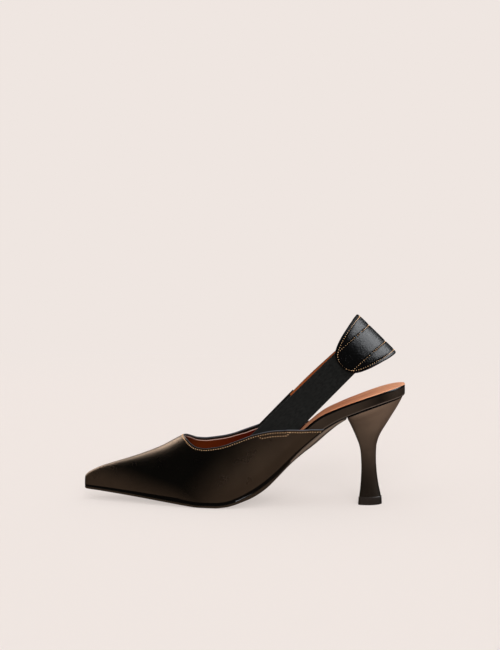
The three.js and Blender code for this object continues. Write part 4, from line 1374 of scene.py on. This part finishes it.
# Floor, light and camera.
# A pale seamless sweep under soft light from above, seen from the outer side of the shoe.
BACKDROP = (0.863, 0.791, 0.753)
FLOOR_SHARE = 0.9
GLOW_NEAR_SHOE = 0.6
FLOOR_FRONT, FLOOR_BACK = -2500, 1500
SWEEP_RADIUS, SWEEP_TOP, SWEEP_HALF = 900, 4500, 4000


def sweep_material():
    """Pale paper that glows as well as taking light, so that shadows on it stay light: painted light. Far
    behind it only glows.
    """
    material, shader, place = new_material("pale_sweep", tuple(c * FLOOR_SHARE for c in BACKDROP), 1.0)
    feed(shader, Specular_IOR_Level=0.0)
    far = between_values(axis_of(place, "Y"), GLOW_NEAR_SHOE, 1, 0.35, 1.0)
    glow = node("ShaderNodeEmission", tree=place.id_data, Color=(*BACKDROP, 1), Strength=1.0)
    both = node("ShaderNodeMixShader", far, shader.outputs["BSDF"], glow.outputs["Emission"])
    feed(material.node_tree.nodes["Material Output"], Surface=both.outputs["Shader"])
    return material


pale_paper = sweep_material()
profile = [(FLOOR_FRONT, 0), (FLOOR_BACK, 0)]
for turn in [math.pi / 2 * i / 24 for i in range(1, 25)]:
    profile.append((FLOOR_BACK + SWEEP_RADIUS * math.sin(turn), SWEEP_RADIUS * (1 - math.cos(turn))))
profile.append((FLOOR_BACK + SWEEP_RADIUS, SWEEP_TOP))
for name, rows in (("floor", profile[:2]), ("backdrop", profile[1:])):
    points = [Vector((x, y, z)) * MM for y, z in rows for x in (-SWEEP_HALF, SWEEP_HALF)]
    faces = [(2 * i, 2 * i + 1, 2 * i + 3, 2 * i + 2) for i in range(len(rows) - 1)]
    mesh = bpy.data.meshes.new(name)
    mesh.from_pydata(points, [], faces)
    mesh.polygons.foreach_set("use_smooth", [True] * len(faces))
    mesh.materials.append(pale_paper)
    sheet = placed(name, mesh)
    sheet.visible_glossy = False


def far_light(name, turn, height, spread, strength, shines=True, fills=True, colour=(1, 1, 1)):
    """A large soft light far away. It comes from so many degrees round from the back, and up.
    It may shine in gloss, fill the matt colours, or both."""
    light = bpy.data.lights.new(name, "SUN")
    light.angle = math.radians(spread)
    light.energy = strength
    light.color = colour
    lamp = placed(name, light)
    around, up = math.radians(turn), math.radians(height)
    towards = Vector((math.sin(around) * math.cos(up), math.cos(around) * math.cos(up), math.sin(up)))
    lamp.rotation_euler = towards.to_track_quat("Z", "Y").to_euler()
    lamp.visible_glossy = shines
    lamp.visible_diffuse = fills


far_light("sky", turn=180, height=82, spread=165, strength=1.75, shines=False)
far_light("key", turn=180, height=60, spread=60, strength=0.7, shines=False)
far_light("front", turn=170, height=20, spread=34, strength=2.8, shines=False)
far_light("back_gloss", turn=-35, height=21, spread=30, strength=0.75, fills=False, colour=WARM)
far_light("right_gloss", turn=74, height=46, spread=66, strength=3.1, fills=False, colour=(0.96, 0.98, 1))

world = bpy.data.worlds.new("studio")
world.use_nodes = True
feed(world.node_tree.nodes["Background"], Color=(1, 0.97, 0.95, 1), Strength=0.02)
bpy.context.scene.world = world
bpy.context.scene.view_settings.view_transform = "Standard"

CAMERA_TURN = math.radians(6)
CAMERA_PITCH = math.radians(5.6)
CAMERA_DISTANCE = 1.8
SENSOR = 36
IMAGE_WIDTH, IMAGE_HEIGHT = 500, 650
PIXEL = 0.00076
ORIGIN_PIXEL = (213.0, 500.3)
camera_data = bpy.data.cameras.new("camera")
camera_data.sensor_fit = "VERTICAL"
camera_data.sensor_height = SENSOR
camera_data.lens = CAMERA_DISTANCE * SENSOR / (IMAGE_HEIGHT * PIXEL)
camera = placed("camera", camera_data)
camera.rotation_euler = (math.pi / 2 - CAMERA_PITCH, 0, CAMERA_TURN)
right = Vector((math.cos(CAMERA_TURN), math.sin(CAMERA_TURN), 0))
level = Vector((-math.sin(CAMERA_TURN), math.cos(CAMERA_TURN), 0))
forward = level * math.cos(CAMERA_PITCH) - Vector((0, 0, math.sin(CAMERA_PITCH)))
across = right * (ORIGIN_PIXEL[0] - IMAGE_WIDTH / 2) * PIXEL
upwards = right.cross(forward) * (IMAGE_HEIGHT / 2 - ORIGIN_PIXEL[1]) * PIXEL
camera.location = -(across + upwards + forward * CAMERA_DISTANCE)
bpy.context.scene.camera = camera
